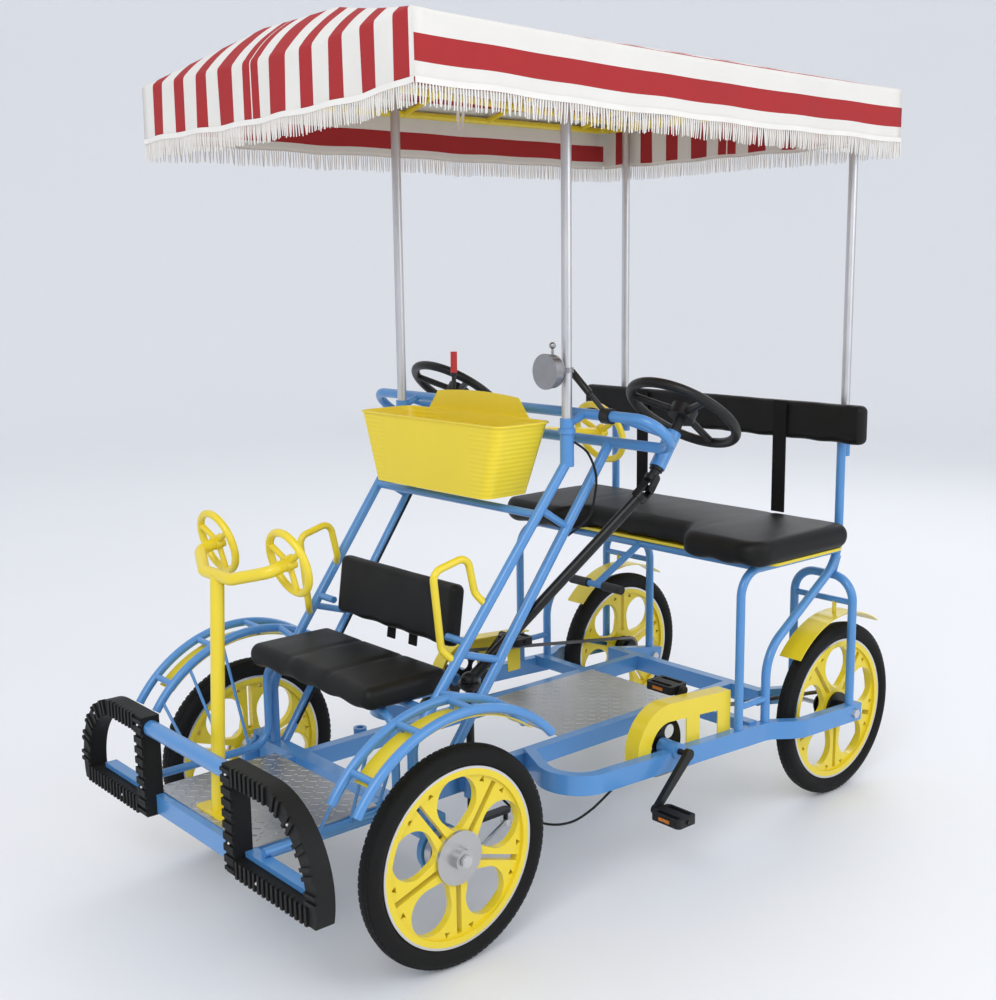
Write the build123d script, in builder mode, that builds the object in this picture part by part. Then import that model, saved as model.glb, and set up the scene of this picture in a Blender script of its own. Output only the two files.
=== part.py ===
from build123d import *
import os
from math import cos, radians, sin

# Pedal quadricycle for two adults on a bench and two children on a front seat.
# X points forward, Y to the left and Z up. The origin is on the floor, under the middle of the vehicle.

# Wheels and stance
wheelbase = 1440
track_front = 888
track_rear = 862
tyre_r = 255
tyre_w = 50
tyre_shoulder_w = 36
rim_w = 34
rim_flange = 3
rim_r = 208
rim_seat_r = 203
rim_inner_r = 188
web_t = 18
hub_r = 38
spokes = 5
tyre_crown = 7
tyre_bulge_r = 229
front_overhang = 425
front_x = (wheelbase + tyre_r - front_overhang) / 2
rear_x = front_x - wheelbase
axle_z = tyre_r
run_gap = 0.05
past = 1

# Drive
chain_inset = 39
chain_y = track_rear / 2 - chain_inset
bb_axle_r = 8
bb_outset = 38
bb_y = chain_y + bb_outset
bb_shell_r = 21
bb_shell_length = 60
crank_length = 165
crank_angle = -43
chainring_r = 81
sprocket_r = 38
pedal_w = 94
pedal_length = 68
pedal_t = 22

# Chassis
side_rail_outset = 10
side_rail_y = bb_y + side_rail_outset
rear_rail_outset = 59
side_rail_rear_y = track_rear / 2 + rear_rail_outset
rear_stay_inset = 141
rear_stay_y = track_rear / 2 - rear_stay_inset
rail_w = 30
rail_h = 46
rail_z = 293
rail_top = rail_z + rail_h / 2
inner_rail_y = 190
front_rail_half = 470
beam_w = 44
beam_h = 50
kingpin_inset = 94
kingpin_y = track_front / 2 - kingpin_inset
kingpin_r = 8
sleeve_r = 22
sleeve_low = 205
sleeve_high = 320
side_rail_w = 28
side_rail_h = 50
side_rail_front_z = 302
side_rail_bend = 85
rear_stay_w = 28
plate_t = 3
rear_axle_r = 8
rear_axle_past = 22
axle_nut_r = 14
axle_nut_t = 10
rail_tail = 35
cross_drop = 5
cross_h = 32
weld = 5
tube_r = 12.5
pad_depth = 44

# Steering
steer_arm = 110
arm_t = 10
link_pin_r = 6
column_y = 440
column_r = 12.5
column_sleeve_r = 20
column_sleeve_length = 100
steering_wheel_r = 140
steering_rim_r = 12.5
joint_ball_r = 22
shaft_r = 13.5
spindle_sleeve_half = 25

# Seats
bench_half = 525
bench_cushion_t = 72
backrest_half = 537
backrest_low = 1045
backrest_high = 1153
child_half = 262

# Canopy
canopy_half = 555
canopy_hem = 1865
canopy_fold = 1990
canopy_top = 2085
fringe_drop = 55
canopy_t = 3
post_r = 12.5


def fore(distance):
    """X of a station given as its distance ahead of the front axle."""
    return front_x + distance


def pipe(points, radius, bend=0, mode=Mode.ADD):
    """Round tube on straight runs joined by tangent arcs, added to the open part."""
    with BuildLine() as route:
        if len(points) == 2:
            Line(*points)
        else:
            FilletPolyline(*points, radius=bend)
    with BuildSketch(Plane(route.line ^ 0)) as section:
        Circle(radius)
    sweep(sections=section.sketch, path=route.line, mode=mode)


def bar(points, width, height, bend=0, up=(0, 0, 1)):
    """Rectangular tube, its height along the up direction, added to the open part."""
    with BuildLine() as route:
        if len(points) == 2:
            Line(*points)
        else:
            FilletPolyline(*points, radius=bend)
    along = route.line % 0
    start = Plane(origin=route.line @ 0, x_dir=Vector(up).cross(along), z_dir=along)
    with BuildSketch(start) as section:
        Rectangle(width, height)
    sweep(sections=section.sketch, path=route.line)


def rod(start, end, radius, mode=Mode.ADD):
    """Straight round bar from one point to another."""
    pipe([start, end], radius, mode=mode)


def finish(builder, label):
    """Labels a finished piece and writes it to its own file."""
    builder.part.label = label
    export_step(builder.part, f"parts/{label}.step")


os.makedirs("parts", exist_ok=True)

# Chassis: ladder of inner rails, axle beam, bent side rails and rear stays, built on the left and mirrored
front_rail_x = fore(385)
rear_beam_x = fore(-1265)
cross_x = fore(-1060)
bb_x = fore(-727)
side_rail_slope = (side_rail_front_z - axle_z) / (fore(-400) - rear_x)


def side_rail_z(x):
    """Height of the side rail's centre line, which falls to the rear axle."""
    return axle_z + (x - rear_x) * side_rail_slope


side_rail_plan = [
    # x, y
    (fore(-440), inner_rail_y + rail_w / 2 - weld),
    (fore(-322), side_rail_y),
    (fore(-1115), side_rail_y),
    (fore(-1195), side_rail_rear_y),
    (rear_x - rail_tail, side_rail_rear_y),
]
bb_z = side_rail_z(bb_x) + side_rail_h / 2
spindle_x = fore(-220)
spindle_y = 235
spindle_r = 10
spindle_sleeve_r = 18

with BuildPart() as chassis:
    bar([(rear_beam_x, inner_rail_y, rail_z), (front_rail_x, inner_rail_y, rail_z)], rail_w, rail_h)
    bar([(front_rail_x, 0, rail_z), (front_rail_x, front_rail_half, rail_z)], rail_w, rail_h)
    bar([(front_x, 0, rail_z), (front_x, kingpin_y - weld, rail_z)], beam_w, beam_h)
    bar([(rear_beam_x, 0, rail_z), (rear_beam_x, rear_stay_y + rear_stay_w / 2, rail_z)], rail_w, rail_h)
    bar([(rear_beam_x, rear_stay_y, rail_z), (rear_x - rail_tail, rear_stay_y, axle_z)], rear_stay_w, rail_h)
    cross_z = rail_z - cross_drop
    bar([(cross_x, 0, cross_z), (cross_x, side_rail_y - weld, cross_z)], rail_w, cross_h)
    bar(
        [(x, y, side_rail_z(x)) for x, y in side_rail_plan],
        side_rail_w,
        side_rail_h,
        side_rail_bend,
        (-side_rail_slope, 0, 1),
    )
    bar([(spindle_x, inner_rail_y, rail_z), (spindle_x, spindle_y, rail_z)], rail_w, rail_w)
    bores = (
        # start, end, wall radius (none where the rails themselves are bored), bore radius
        ((front_x, kingpin_y, sleeve_low), (front_x, kingpin_y, sleeve_high), sleeve_r, kingpin_r),
        (
            (bb_x, bb_y - bb_shell_length / 2, bb_z),
            (bb_x, bb_y + bb_shell_length / 2, bb_z),
            bb_shell_r,
            bb_axle_r,
        ),
        (
            (spindle_x, spindle_y, rail_z - spindle_sleeve_half),
            (spindle_x, spindle_y, rail_z + spindle_sleeve_half),
            spindle_sleeve_r,
            spindle_r,
        ),
        (
            (rear_x, rear_stay_y - rear_stay_w, axle_z),
            (rear_x, side_rail_rear_y + side_rail_w, axle_z),
            None,
            rear_axle_r,
        ),
    )
    for start, end, wall_r, bore_r in bores:
        if wall_r:
            rod(start, end, wall_r)
    for start, end, wall_r, bore_r in bores:
        reach = (Vector(end) - Vector(start)).normalized() * past
        rod(Vector(start) - reach, Vector(end) + reach, bore_r + run_gap, Mode.SUBTRACT)
    mirror(about=Plane.XZ)
finish(chassis, "chassis")

# Floor plates of checkered aluminium
plates = (
    # rear edge, front edge, half width, underside
    (fore(52), front_x + front_overhang - pad_depth, 225, rail_top),
    (cross_x + rail_w / 2, fore(-575), inner_rail_y - rail_w / 2, rail_top - plate_t),
)
with BuildPart() as floor_plates:
    for x_low, x_high, half, z_low in plates:
        with BuildSketch(Plane.XY.offset(z_low)):
            with Locations(((x_low + x_high) / 2, 0)):
                Rectangle(x_high - x_low, 2 * half)
        extrude(amount=plate_t)
finish(floor_plates, "floor_plates")

# Rear axles, fixed between the stays and the side rails
with BuildPart() as rear_axles:
    rod(
        (rear_x, rear_stay_y - rear_axle_past, axle_z),
        (rear_x, side_rail_rear_y + rear_axle_past, axle_z),
        rear_axle_r,
    )
    for y in (rear_stay_y - rear_stay_w / 2, side_rail_rear_y + side_rail_w / 2 + axle_nut_t):
        with BuildSketch(Plane.XZ.offset(-y)):
            with Locations((rear_x, axle_z)):
                RegularPolygon(axle_nut_r, 6)
        extrude(amount=axle_nut_t)
    mirror(about=Plane.XZ)
finish(rear_axles, "rear_axles")

# Bumper: top tube and two studded rubber loops that clothe the ends of the front rail
pad_x = front_x + front_overhang - pad_depth / 2
pad_band = 38
pad_inner_y = 188
pad_outer_y = 535
pad_crown_y = 345
pad_lap = 4
pad_low = rail_z - rail_h / 2 - pad_lap
pad_high = 512
bumper_tube_z = 483
bumper_tube_r = 19
with BuildPart() as bumper_tube:
    rod((pad_x, -pad_inner_y, bumper_tube_z), (pad_x, pad_inner_y, bumper_tube_z), bumper_tube_r)
finish(bumper_tube, "bumper_tube")
with BuildPart() as bumper_pads:
    with BuildSketch(Plane.YZ.offset(pad_x - pad_depth / 2)) as loop:
        with BuildLine():
            Polyline(
                (pad_crown_y, pad_high),
                (pad_inner_y, pad_high),
                (pad_inner_y, pad_low),
                (pad_outer_y, pad_low),
            )
            TangentArc((pad_crown_y, pad_high), (pad_outer_y, pad_low), tangent=(1, 0))
        make_face()
        offset(amount=-pad_band, mode=Mode.SUBTRACT)
    extrude(amount=pad_depth)
    mirror(about=Plane.XZ)
    add(chassis.part, mode=Mode.SUBTRACT)
finish(bumper_pads, "bumper_pads")

# Dash loop: flat racetrack of tube across the vehicle, with a sleeve for each steering column
dash_r = 13
dash_half = 550
dash_upper = Vector(fore(-520), 0, 1188)
dash_lower = Vector(fore(-606), 0, 1111)
dash_mid = (dash_upper + dash_lower) * 0.5
dash_rise = (dash_upper - dash_lower).normalized()
dash_bend = (dash_upper - dash_lower).length / 2
column_top = Vector(fore(-748), column_y, 1179)
column_joint = Vector(fore(-620), column_y, 1007)
column_down = (column_joint - column_top).normalized()
sleeve_rise = 58
dash_strut_r = 11
sleeve_bottom = column_joint - column_down * sleeve_rise
sleeve_top = sleeve_bottom - column_down * column_sleeve_length
with BuildPart() as dash_loop:
    dash_plane = Plane(origin=dash_mid, x_dir=(0, 1, 0), z_dir=Vector(0, 1, 0).cross(dash_rise))
    with BuildLine(dash_plane) as half_loop:
        run = dash_half - dash_bend
        Line((0, dash_bend), (run, dash_bend))
        ThreePointArc((run, dash_bend), (dash_half, 0), (run, -dash_bend))
        Line((run, -dash_bend), (0, -dash_bend))
    with BuildSketch(Plane(half_loop.line ^ 0)):
        Circle(dash_r)
    sweep(path=half_loop.line)
    rod(dash_lower + Vector(0, column_y, 0), (sleeve_bottom + sleeve_top) * 0.5, dash_strut_r)
    rod(dash_upper + Vector(0, column_y, 0), sleeve_top + column_down * dash_strut_r, dash_strut_r)
    rod(sleeve_top, sleeve_bottom, column_sleeve_r)
    rod(sleeve_top - column_down, sleeve_bottom + column_down, column_r + run_gap, Mode.SUBTRACT)
    mirror(about=Plane.XZ)
finish(dash_loop, "dash_loop")

# Towers: a pair of slanted tubes on each side, from the axle beam to the dash, with rungs and post sockets
tower_inset = 50
tower_foot_y = kingpin_y - tower_inset
post_front = Vector(fore(-459), 328, 0)
post_rear = Vector(fore(-1455), 428, 0)
socket_r = 17
socket_low = 1066
socket_high = 1182
post_depth = 80
collar_low = 1146
collar_t = 12
collar_lip = 4
socket_strut_z = 1165
socket_strut_r = 9
rung_r = 9
basket_bar_r = 10
tower_bend = 80
rungs = (
    # share of the front tube, share of the rear tube
    (0.30, 0.40),
    (0.82, 0.76),
)
tower_knee_z = 481
tower_lead = 4
tower_trail = 14
tower_front_foot = Vector(front_x + tower_lead, tower_foot_y, rail_z)
tower_front_knee = Vector(front_x + tower_lead, tower_foot_y, tower_knee_z)
tower_front_top = Vector(post_front.X, post_front.Y, socket_low + tube_r)
tower_rear_foot = Vector(front_x - tower_trail, tower_foot_y, rail_z + weld)
tower_rear_top = dash_lower + Vector(0, post_front.Y, 0)
basket_bar_at = 0.8


def up_tower(share):
    """Point on the front tower tube, as a share of its slanted run."""
    return tower_front_knee + (tower_front_top - tower_front_knee) * share


with BuildPart() as towers:
    pipe([tower_front_foot, tower_front_knee, tower_front_top], tube_r, tower_bend)
    rod(tower_rear_foot, tower_rear_top, tube_r)
    rod(post_front + Vector(0, 0, socket_low), post_front + Vector(0, 0, socket_high), socket_r)
    collar = post_front + Vector(0, 0, collar_low)
    rod(collar, collar + Vector(0, 0, collar_t), socket_r + collar_lip)
    rod(post_front + Vector(0, 0, socket_strut_z), dash_upper + Vector(0, post_front.Y, 0), socket_strut_r)
    for share_front, share_rear in rungs:
        rear_point = tower_rear_foot + (tower_rear_top - tower_rear_foot) * share_rear
        rod(up_tower(share_front), rear_point, rung_r)
    bar_point = up_tower(basket_bar_at)
    rod(bar_point, (bar_point.X, 0, bar_point.Z), basket_bar_r)
    socket_floor = post_front + Vector(0, 0, socket_high - post_depth)
    rod(socket_floor, post_front + Vector(0, 0, socket_high + past), post_r + run_gap, Mode.SUBTRACT)
    mirror(about=Plane.XZ)
    add(chassis.part, mode=Mode.SUBTRACT)
    add(dash_loop.part, mode=Mode.SUBTRACT)
finish(towers, "towers")

# Front fenders: rolled strips inside ladders of two arched tubes
fender_strip_r = 325
fender_strip_t = 2.5
guard_r = 345
guard_tube_r = 11
guard_outset = 44
guard_inset = 48
guard_outer_y = track_front / 2 + guard_outset
guard_inner_y = track_front / 2 - guard_inset
guard_low_angle = 33
guard_high_angle = 137
strip_low_angle = 44
strip_high_angle = 128
guard_bar_angles = (46, 70, 94, 118)
guard_bar_r = 8
strip_inset = 9
strip_peg_inset = 16
strip_peg_r = 5
guard_rods = (
    # angle on the arch, x of the foot on the seat hoop
    (38, fore(250)),
    (56, fore(165)),
    (74, fore(95)),
)
guard_rod_r = 4
guard_stay_angle = 103
guard_stay_at = 0.165
guard_stay_r = 9


def arch(centre_x, radius, y, angle):
    """Point on a wheel arch, its angle counted up from straight ahead of the axle."""
    return Vector(centre_x + radius * cos(radians(angle)), y, axle_z + radius * sin(radians(angle)))


def arch_strip(centre_x, radius, thickness, y_low, y_high, low, high):
    """Rolled sheet over a wheel, added to the open part."""
    with BuildSketch(Plane.XZ.offset(-y_low)) as side:
        with BuildLine():
            inner = CenterArc((centre_x, axle_z), radius, low, high - low)
            outer = CenterArc((centre_x, axle_z), radius + thickness, low, high - low)
            Line(inner @ 0, outer @ 0)
            Line(inner @ 1, outer @ 1)
        make_face()
    extrude(to_extrude=side.sketch, amount=-(y_high - y_low))


with BuildPart() as front_fenders:
    arch_strip(
        front_x,
        fender_strip_r,
        fender_strip_t,
        guard_inner_y + strip_inset,
        guard_outer_y - strip_inset,
        strip_low_angle,
        strip_high_angle,
    )
    mirror(about=Plane.XZ)
finish(front_fenders, "front_fenders")

# Child seat hoop: one tube from the front rail along the floor, up, and across under the cushion
hoop_inset = 72
hoop_y = kingpin_y - hoop_inset
hoop_r = 10
hoop_z = rail_top + hoop_r
hoop_x = fore(36)
child_cushion_low = 556
child_hoop_top = child_cushion_low - hoop_r
hoop_bend = 55
seat_bar_at = 0.09
back_bar_at = 0.34
back_bar_in = 238
back_bar_r = 9
with BuildPart() as child_seat_frame:
    pipe(
        [
            (front_rail_x, hoop_y, hoop_z),
            (hoop_x, hoop_y, hoop_z),
            (hoop_x, hoop_y, child_hoop_top),
            (hoop_x, -hoop_y, child_hoop_top),
            (hoop_x, -hoop_y, hoop_z),
            (front_rail_x, -hoop_y, hoop_z),
        ],
        hoop_r,
        hoop_bend,
    )
    seat_bar = up_tower(seat_bar_at)
    rod((seat_bar.X, -seat_bar.Y, child_hoop_top), (seat_bar.X, seat_bar.Y, child_hoop_top), hoop_r)
    back_bar = up_tower(back_bar_at)
    for side in (1, -1):
        rod(
            (back_bar.X, side * back_bar.Y, back_bar.Z),
            (back_bar.X, side * back_bar_in, back_bar.Z),
            back_bar_r,
        )
    add(chassis.part, mode=Mode.SUBTRACT)
    add(towers.part, mode=Mode.SUBTRACT)
    add(bumper_pads.part, mode=Mode.SUBTRACT)
finish(child_seat_frame, "child_seat_frame")

# Fender guards: arched ladders, with rods down to the seat hoop
with BuildPart() as fender_guards:
    for y in (guard_inner_y, guard_outer_y):
        with BuildLine() as rail_arc:
            ThreePointArc(*[
                arch(front_x, guard_r, y, a)
                for a in (guard_low_angle, (guard_low_angle + guard_high_angle) / 2, guard_high_angle)
            ])
        with BuildSketch(Plane(rail_arc.line ^ 0)):
            Circle(guard_tube_r)
        sweep(path=rail_arc.line)
    strip_top_r = fender_strip_r + fender_strip_t
    peg_y = guard_inner_y + strip_peg_inset
    for angle in guard_bar_angles:
        rod(
            arch(front_x, guard_r, guard_inner_y, angle),
            arch(front_x, guard_r, guard_outer_y, angle),
            guard_bar_r,
        )
        rod(arch(front_x, guard_r, peg_y, angle), arch(front_x, strip_top_r, peg_y, angle), strip_peg_r)
    for angle, foot_x in guard_rods:
        rod(arch(front_x, guard_r, guard_inner_y, angle), (foot_x, hoop_y, hoop_z), guard_rod_r)
    rod(arch(front_x, guard_r, guard_inner_y, guard_stay_angle), up_tower(guard_stay_at), guard_stay_r)
    mirror(about=Plane.XZ)
    add(towers.part, mode=Mode.SUBTRACT)
    add(child_seat_frame.part, mode=Mode.SUBTRACT)
finish(fender_guards, "fender_guards")

# Child seat: cushion, leaning backrest and two grab loops
child_cushion_t = 60
child_corner_r = 30
child_edge_r = 14
child_back_corner_r = 22
child_front = fore(98)
child_back = fore(-150)
with BuildPart() as child_cushion:
    with BuildSketch(Plane.XY.offset(child_cushion_low)):
        with Locations(((child_front + child_back) / 2, 0)):
            RectangleRounded(child_front - child_back, 2 * child_half, child_corner_r)
    extrude(amount=child_cushion_t)
    fillet(child_cushion.faces().sort_by(Axis.Z)[-1].edges(), child_edge_r)
finish(child_cushion, "child_cushion")
child_back_t = 42
child_back_half = 237
child_back_height = 150
child_back_lean = 8
child_back_foot = Vector(fore(-176), 0, 652)
child_back_face = Plane(
    origin=child_back_foot,
    x_dir=(0, 1, 0),
    z_dir=(cos(radians(child_back_lean)), 0, sin(radians(child_back_lean))),
)
with BuildPart() as child_backrest:
    with BuildSketch(child_back_face.offset(-child_back_t / 2)):
        with Locations((0, child_back_height / 2)):
            RectangleRounded(2 * child_back_half, child_back_height, child_back_corner_r)
    extrude(amount=child_back_t)
    add(child_seat_frame.part, mode=Mode.SUBTRACT)
finish(child_backrest, "child_backrest")
grab_r = 9
grab_bend = 26
grab_low = up_tower(0.27)
grab_high = up_tower(0.47)
grab_in = -28
grab_run = (
    # foot, step from it forward, step up
    (grab_low, 20, 28),
    (grab_low, 40, 215),
    (grab_high, 35, 120),
    (grab_high, 14, 28),
)
with BuildPart() as grab_loops:
    turns = [foot + Vector(ahead, grab_in, rise) for foot, ahead, rise in grab_run]
    pipe([grab_low, *turns, grab_high], grab_r, grab_bend)
    mirror(about=Plane.XZ)
    add(towers.part, mode=Mode.SUBTRACT)
    add(child_seat_frame.part, mode=Mode.SUBTRACT)
finish(grab_loops, "grab_loops")

# Toy steering: post on the front of the floor, bowed bar and two small three-spoked wheels
toy_foot = Vector(fore(339), 0, rail_top + plate_t)
toy_head = Vector(fore(311), 0, 869)
toy_hub = Vector(fore(220), 157, 908)
toy_wheel_r = 72
toy_rim_r = 9
toy_tilt = 15
toy_post_r = 16
toy_arm_r = 14
toy_arm_bend = 30
toy_arm_half = 60
toy_arm_reach = 50
toy_flange = (56, 120, 10, 4)
toy_boss_r = 17
toy_boss_t = 24
toy_spoke_r = 7


def spoked_wheel(centre, facing, ring_r, rim_tube_r, spoke_r, boss_r, boss_t, first_angle):
    """Small steering wheel: ring, three spokes and a boss, added to the open part."""
    face = Plane(origin=centre, x_dir=(0, 1, 0), z_dir=facing)
    with BuildSketch(Plane(origin=centre, x_dir=face.x_dir, z_dir=-face.y_dir)) as ring:
        with Locations((ring_r, 0)):
            Circle(rim_tube_r)
    revolve(profiles=ring.sketch, axis=Axis(centre, facing), revolution_arc=360)
    for turn in range(3):
        angle = radians(first_angle + 120 * turn)
        tip = face.x_dir * (ring_r * cos(angle)) + face.y_dir * (ring_r * sin(angle))
        rod(centre, centre + tip, spoke_r)
    with BuildSketch(face.offset(-boss_t / 2)) as boss:
        Circle(boss_r)
    extrude(to_extrude=boss.sketch, amount=boss_t)


toy_facing = Vector(-cos(radians(toy_tilt)), 0, sin(radians(toy_tilt)))
with BuildPart() as toy_steering:
    flange_x, flange_y, flange_r, flange_t = toy_flange
    rod(toy_foot + Vector(0, 0, flange_t / 2), toy_head, toy_post_r)
    with BuildSketch(Plane(origin=toy_foot)):
        RectangleRounded(flange_x, flange_y, flange_r)
    extrude(amount=flange_t)
    pipe(
        [
            toy_hub,
            toy_hub - toy_facing * toy_arm_reach,
            toy_head + Vector(0, toy_arm_half, 0),
            toy_head,
        ],
        toy_arm_r,
        toy_arm_bend,
    )
    spoked_wheel(toy_hub, toy_facing, toy_wheel_r, toy_rim_r, toy_spoke_r, toy_boss_r, toy_boss_t, 90)
    mirror(about=Plane.XZ)
finish(toy_steering, "toy_steering")

# Basket: tapered tub open at the top, with a raised middle in its rear wall
basket_low = 992
basket_high = 1172
basket_wall = 3
basket_lip = 4
basket_corner_r = 26
basket_hump = 48
hump_foot_half = 200
hump_crown_half = 160
hump_bow = 8
basket_bottom = (fore(-430), fore(-286), 226)
basket_mouth = (fore(-452), fore(-282), 282)
with BuildPart() as basket:
    tub = ((basket_low, basket_bottom), (basket_high, basket_mouth))
    with BuildSketch(Plane.XY.offset(basket_high - basket_lip)):
        with Locations(((basket_mouth[0] + basket_mouth[1]) / 2, 0)):
            RectangleRounded(
                basket_mouth[1] - basket_mouth[0] + 2 * basket_lip,
                2 * (basket_mouth[2] + basket_lip),
                basket_corner_r + basket_lip,
            )
    extrude(amount=basket_lip)
    with BuildSketch(Plane.YZ.offset(basket_mouth[0] - basket_lip)):
        with BuildLine():
            foot = basket_high - basket_lip / 2
            crown = basket_high + basket_hump
            Polyline(
                (-hump_crown_half, crown),
                (-hump_foot_half, foot),
                (hump_foot_half, foot),
                (hump_crown_half, crown),
            )
            ThreePointArc((hump_crown_half, crown), (0, crown + hump_bow), (-hump_crown_half, crown))
        make_face()
    extrude(amount=basket_wall)
    for inset, lift, mode in ((0, 0, Mode.ADD), (basket_wall, basket_wall, Mode.SUBTRACT)):
        for z, (x_low, x_high, half) in tub:
            with BuildSketch(Plane.XY.offset(z + lift)):
                with Locations(((x_low + x_high) / 2, 0)):
                    RectangleRounded(x_high - x_low - 2 * inset, 2 * (half - inset), basket_corner_r - inset)
        loft(mode=mode)
    add(towers.part, mode=Mode.SUBTRACT)
finish(basket, "basket")

# Bench frames: seat legs, swept backrest uprights, hoops over the rear wheels and their cross ties
bench_tube_z = 736
seat_tube_r = 12
cross_tube_r = 11
leg_x = fore(-990)
bench_cross_x = leg_x - 80
sweep_x = fore(-1105)
upright_x = fore(-1425)
upright_y = side_rail_y
upright_top = 1125
hoop_outer_y = side_rail_rear_y
hoop_inner_y = rear_stay_y
wheel_hoop_x = rear_x + 8
wheel_hoop_top = 655
tie_z = 583
rear_socket_low = 1000
rear_socket_high = 1090
leg_seat = side_rail_h / 2 - weld
bench_bend = 70
sweep_knee_z = 490
sweep_top_z = 700
sweep_bend = 130
tie_r = 9
leg_tie_z = 362
hoop_link_r = 10
hoop_link_in = 20
hoop_link_rise = 60
bench_rear_cross_x = upright_x + 60
rear_socket_floor = rear_socket_low + 10
socket_bracket_inset = 20
socket_bracket_r = 8
with BuildPart() as bench_frames:
    pipe(
        [
            (leg_x, upright_y, side_rail_z(leg_x) + leg_seat),
            (leg_x, upright_y, bench_tube_z),
            (upright_x, upright_y, bench_tube_z),
        ],
        seat_tube_r,
        bench_bend,
    )
    pipe(
        [
            (sweep_x, upright_y, side_rail_z(sweep_x) + leg_seat),
            (sweep_x, upright_y, sweep_knee_z),
            (upright_x, upright_y, sweep_top_z),
            (upright_x, upright_y, upright_top),
        ],
        tube_r,
        sweep_bend,
    )
    pipe(
        [
            (wheel_hoop_x, hoop_outer_y, side_rail_z(wheel_hoop_x) + leg_seat),
            (wheel_hoop_x, hoop_outer_y, wheel_hoop_top),
            (wheel_hoop_x, hoop_inner_y, wheel_hoop_top),
            (wheel_hoop_x, hoop_inner_y, axle_z + leg_seat),
        ],
        tube_r,
        bench_bend,
    )
    rod((wheel_hoop_x, hoop_inner_y, tie_z), (wheel_hoop_x, hoop_outer_y, tie_z), tie_r)
    rod((leg_x, upright_y, leg_tie_z), (sweep_x, upright_y, leg_tie_z), tie_r)
    rod(
        (wheel_hoop_x, upright_y - hoop_link_in, wheel_hoop_top),
        (upright_x, upright_y, wheel_hoop_top + hoop_link_rise),
        hoop_link_r,
    )
    for x in (bench_rear_cross_x, bench_cross_x):
        rod((x, upright_y, bench_tube_z), (x, 0, bench_tube_z), cross_tube_r)
    rod(post_rear + Vector(0, 0, rear_socket_low), post_rear + Vector(0, 0, rear_socket_high), socket_r)
    for z in (rear_socket_low + socket_bracket_inset, rear_socket_high - socket_bracket_inset):
        rod((upright_x, upright_y, z), post_rear + Vector(0, 0, z), socket_bracket_r)
    rod(
        post_rear + Vector(0, 0, rear_socket_floor),
        post_rear + Vector(0, 0, rear_socket_high + past),
        post_r + run_gap,
        Mode.SUBTRACT,
    )
    mirror(about=Plane.XZ)
    add(chassis.part, mode=Mode.SUBTRACT)
    add(rear_axles.part, mode=Mode.SUBTRACT)
finish(bench_frames, "bench_frames")

# Bench: pan on the tubes, cushion with a lobe for each adult, backrest and straps
pan_t = 8
pan_inset = 30
pan_trim = 10
pan_corner_r = 20
pan_low = bench_tube_z + seat_tube_r
cushion_low = pan_low + pan_t
cushion_high = cushion_low + bench_cushion_t
bench_front = fore(-962)
bench_notch = fore(-1050)
bench_back = fore(-1385)
lobe_y = 250
lobe_slant = 40
bench_corner_r = 36
backrest_t = 42
backrest_corner_r = 24
backrest_back = upright_x + tube_r
with BuildPart() as bench_pan:
    with BuildSketch(Plane.XY.offset(pan_low)):
        with Locations(((bench_notch + bench_back) / 2, 0)):
            pan_length = bench_notch - bench_back - 2 * pan_trim
            RectangleRounded(pan_length, 2 * (bench_half - pan_inset), pan_corner_r)
    extrude(amount=pan_t)
finish(bench_pan, "bench_pan")
with BuildPart() as bench_cushion:
    with BuildSketch(Plane.XY.offset(cushion_low)) as plan:
        with BuildLine():
            Polyline(
                (bench_back, -bench_half),
                (bench_front, -bench_half),
                (bench_front, -lobe_y),
                (bench_notch, -lobe_y + lobe_slant),
                (bench_notch, lobe_y - lobe_slant),
                (bench_front, lobe_y),
                (bench_front, bench_half),
                (bench_back, bench_half),
                close=True,
            )
        make_face()
        fillet(plan.vertices(), bench_corner_r)
    extrude(amount=bench_cushion_t)
finish(bench_cushion, "bench_cushion")
with BuildPart() as bench_backrest:
    with BuildSketch(Plane.YZ.offset(backrest_back)):
        with Locations((0, (backrest_low + backrest_high) / 2)):
            RectangleRounded(2 * backrest_half, backrest_high - backrest_low, backrest_corner_r)
    extrude(amount=backrest_t)
finish(bench_backrest, "bench_backrest")
strap_t = 5
strap_w = 44
strap_y = 268
child_strap_w = 30
child_strap_y = 45
child_strap_length = 110
child_strap_rise = 20
with BuildPart() as seat_straps:
    with BuildSketch(Plane.YZ.offset(backrest_back + backrest_t)):
        strap_z = (cushion_high + backrest_high) / 2
        with Locations((-strap_y, strap_z), (strap_y, strap_z)):
            Rectangle(strap_w, backrest_high - cushion_high)
    extrude(amount=strap_t)
    with BuildSketch(child_back_face.offset(-child_back_t / 2 - strap_t)):
        with Locations((-child_strap_y, child_strap_rise), (child_strap_y, child_strap_rise)):
            Rectangle(child_strap_w, child_strap_length)
    extrude(amount=strap_t)
    add(child_cushion.part, mode=Mode.SUBTRACT)
finish(seat_straps, "seat_straps")

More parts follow.
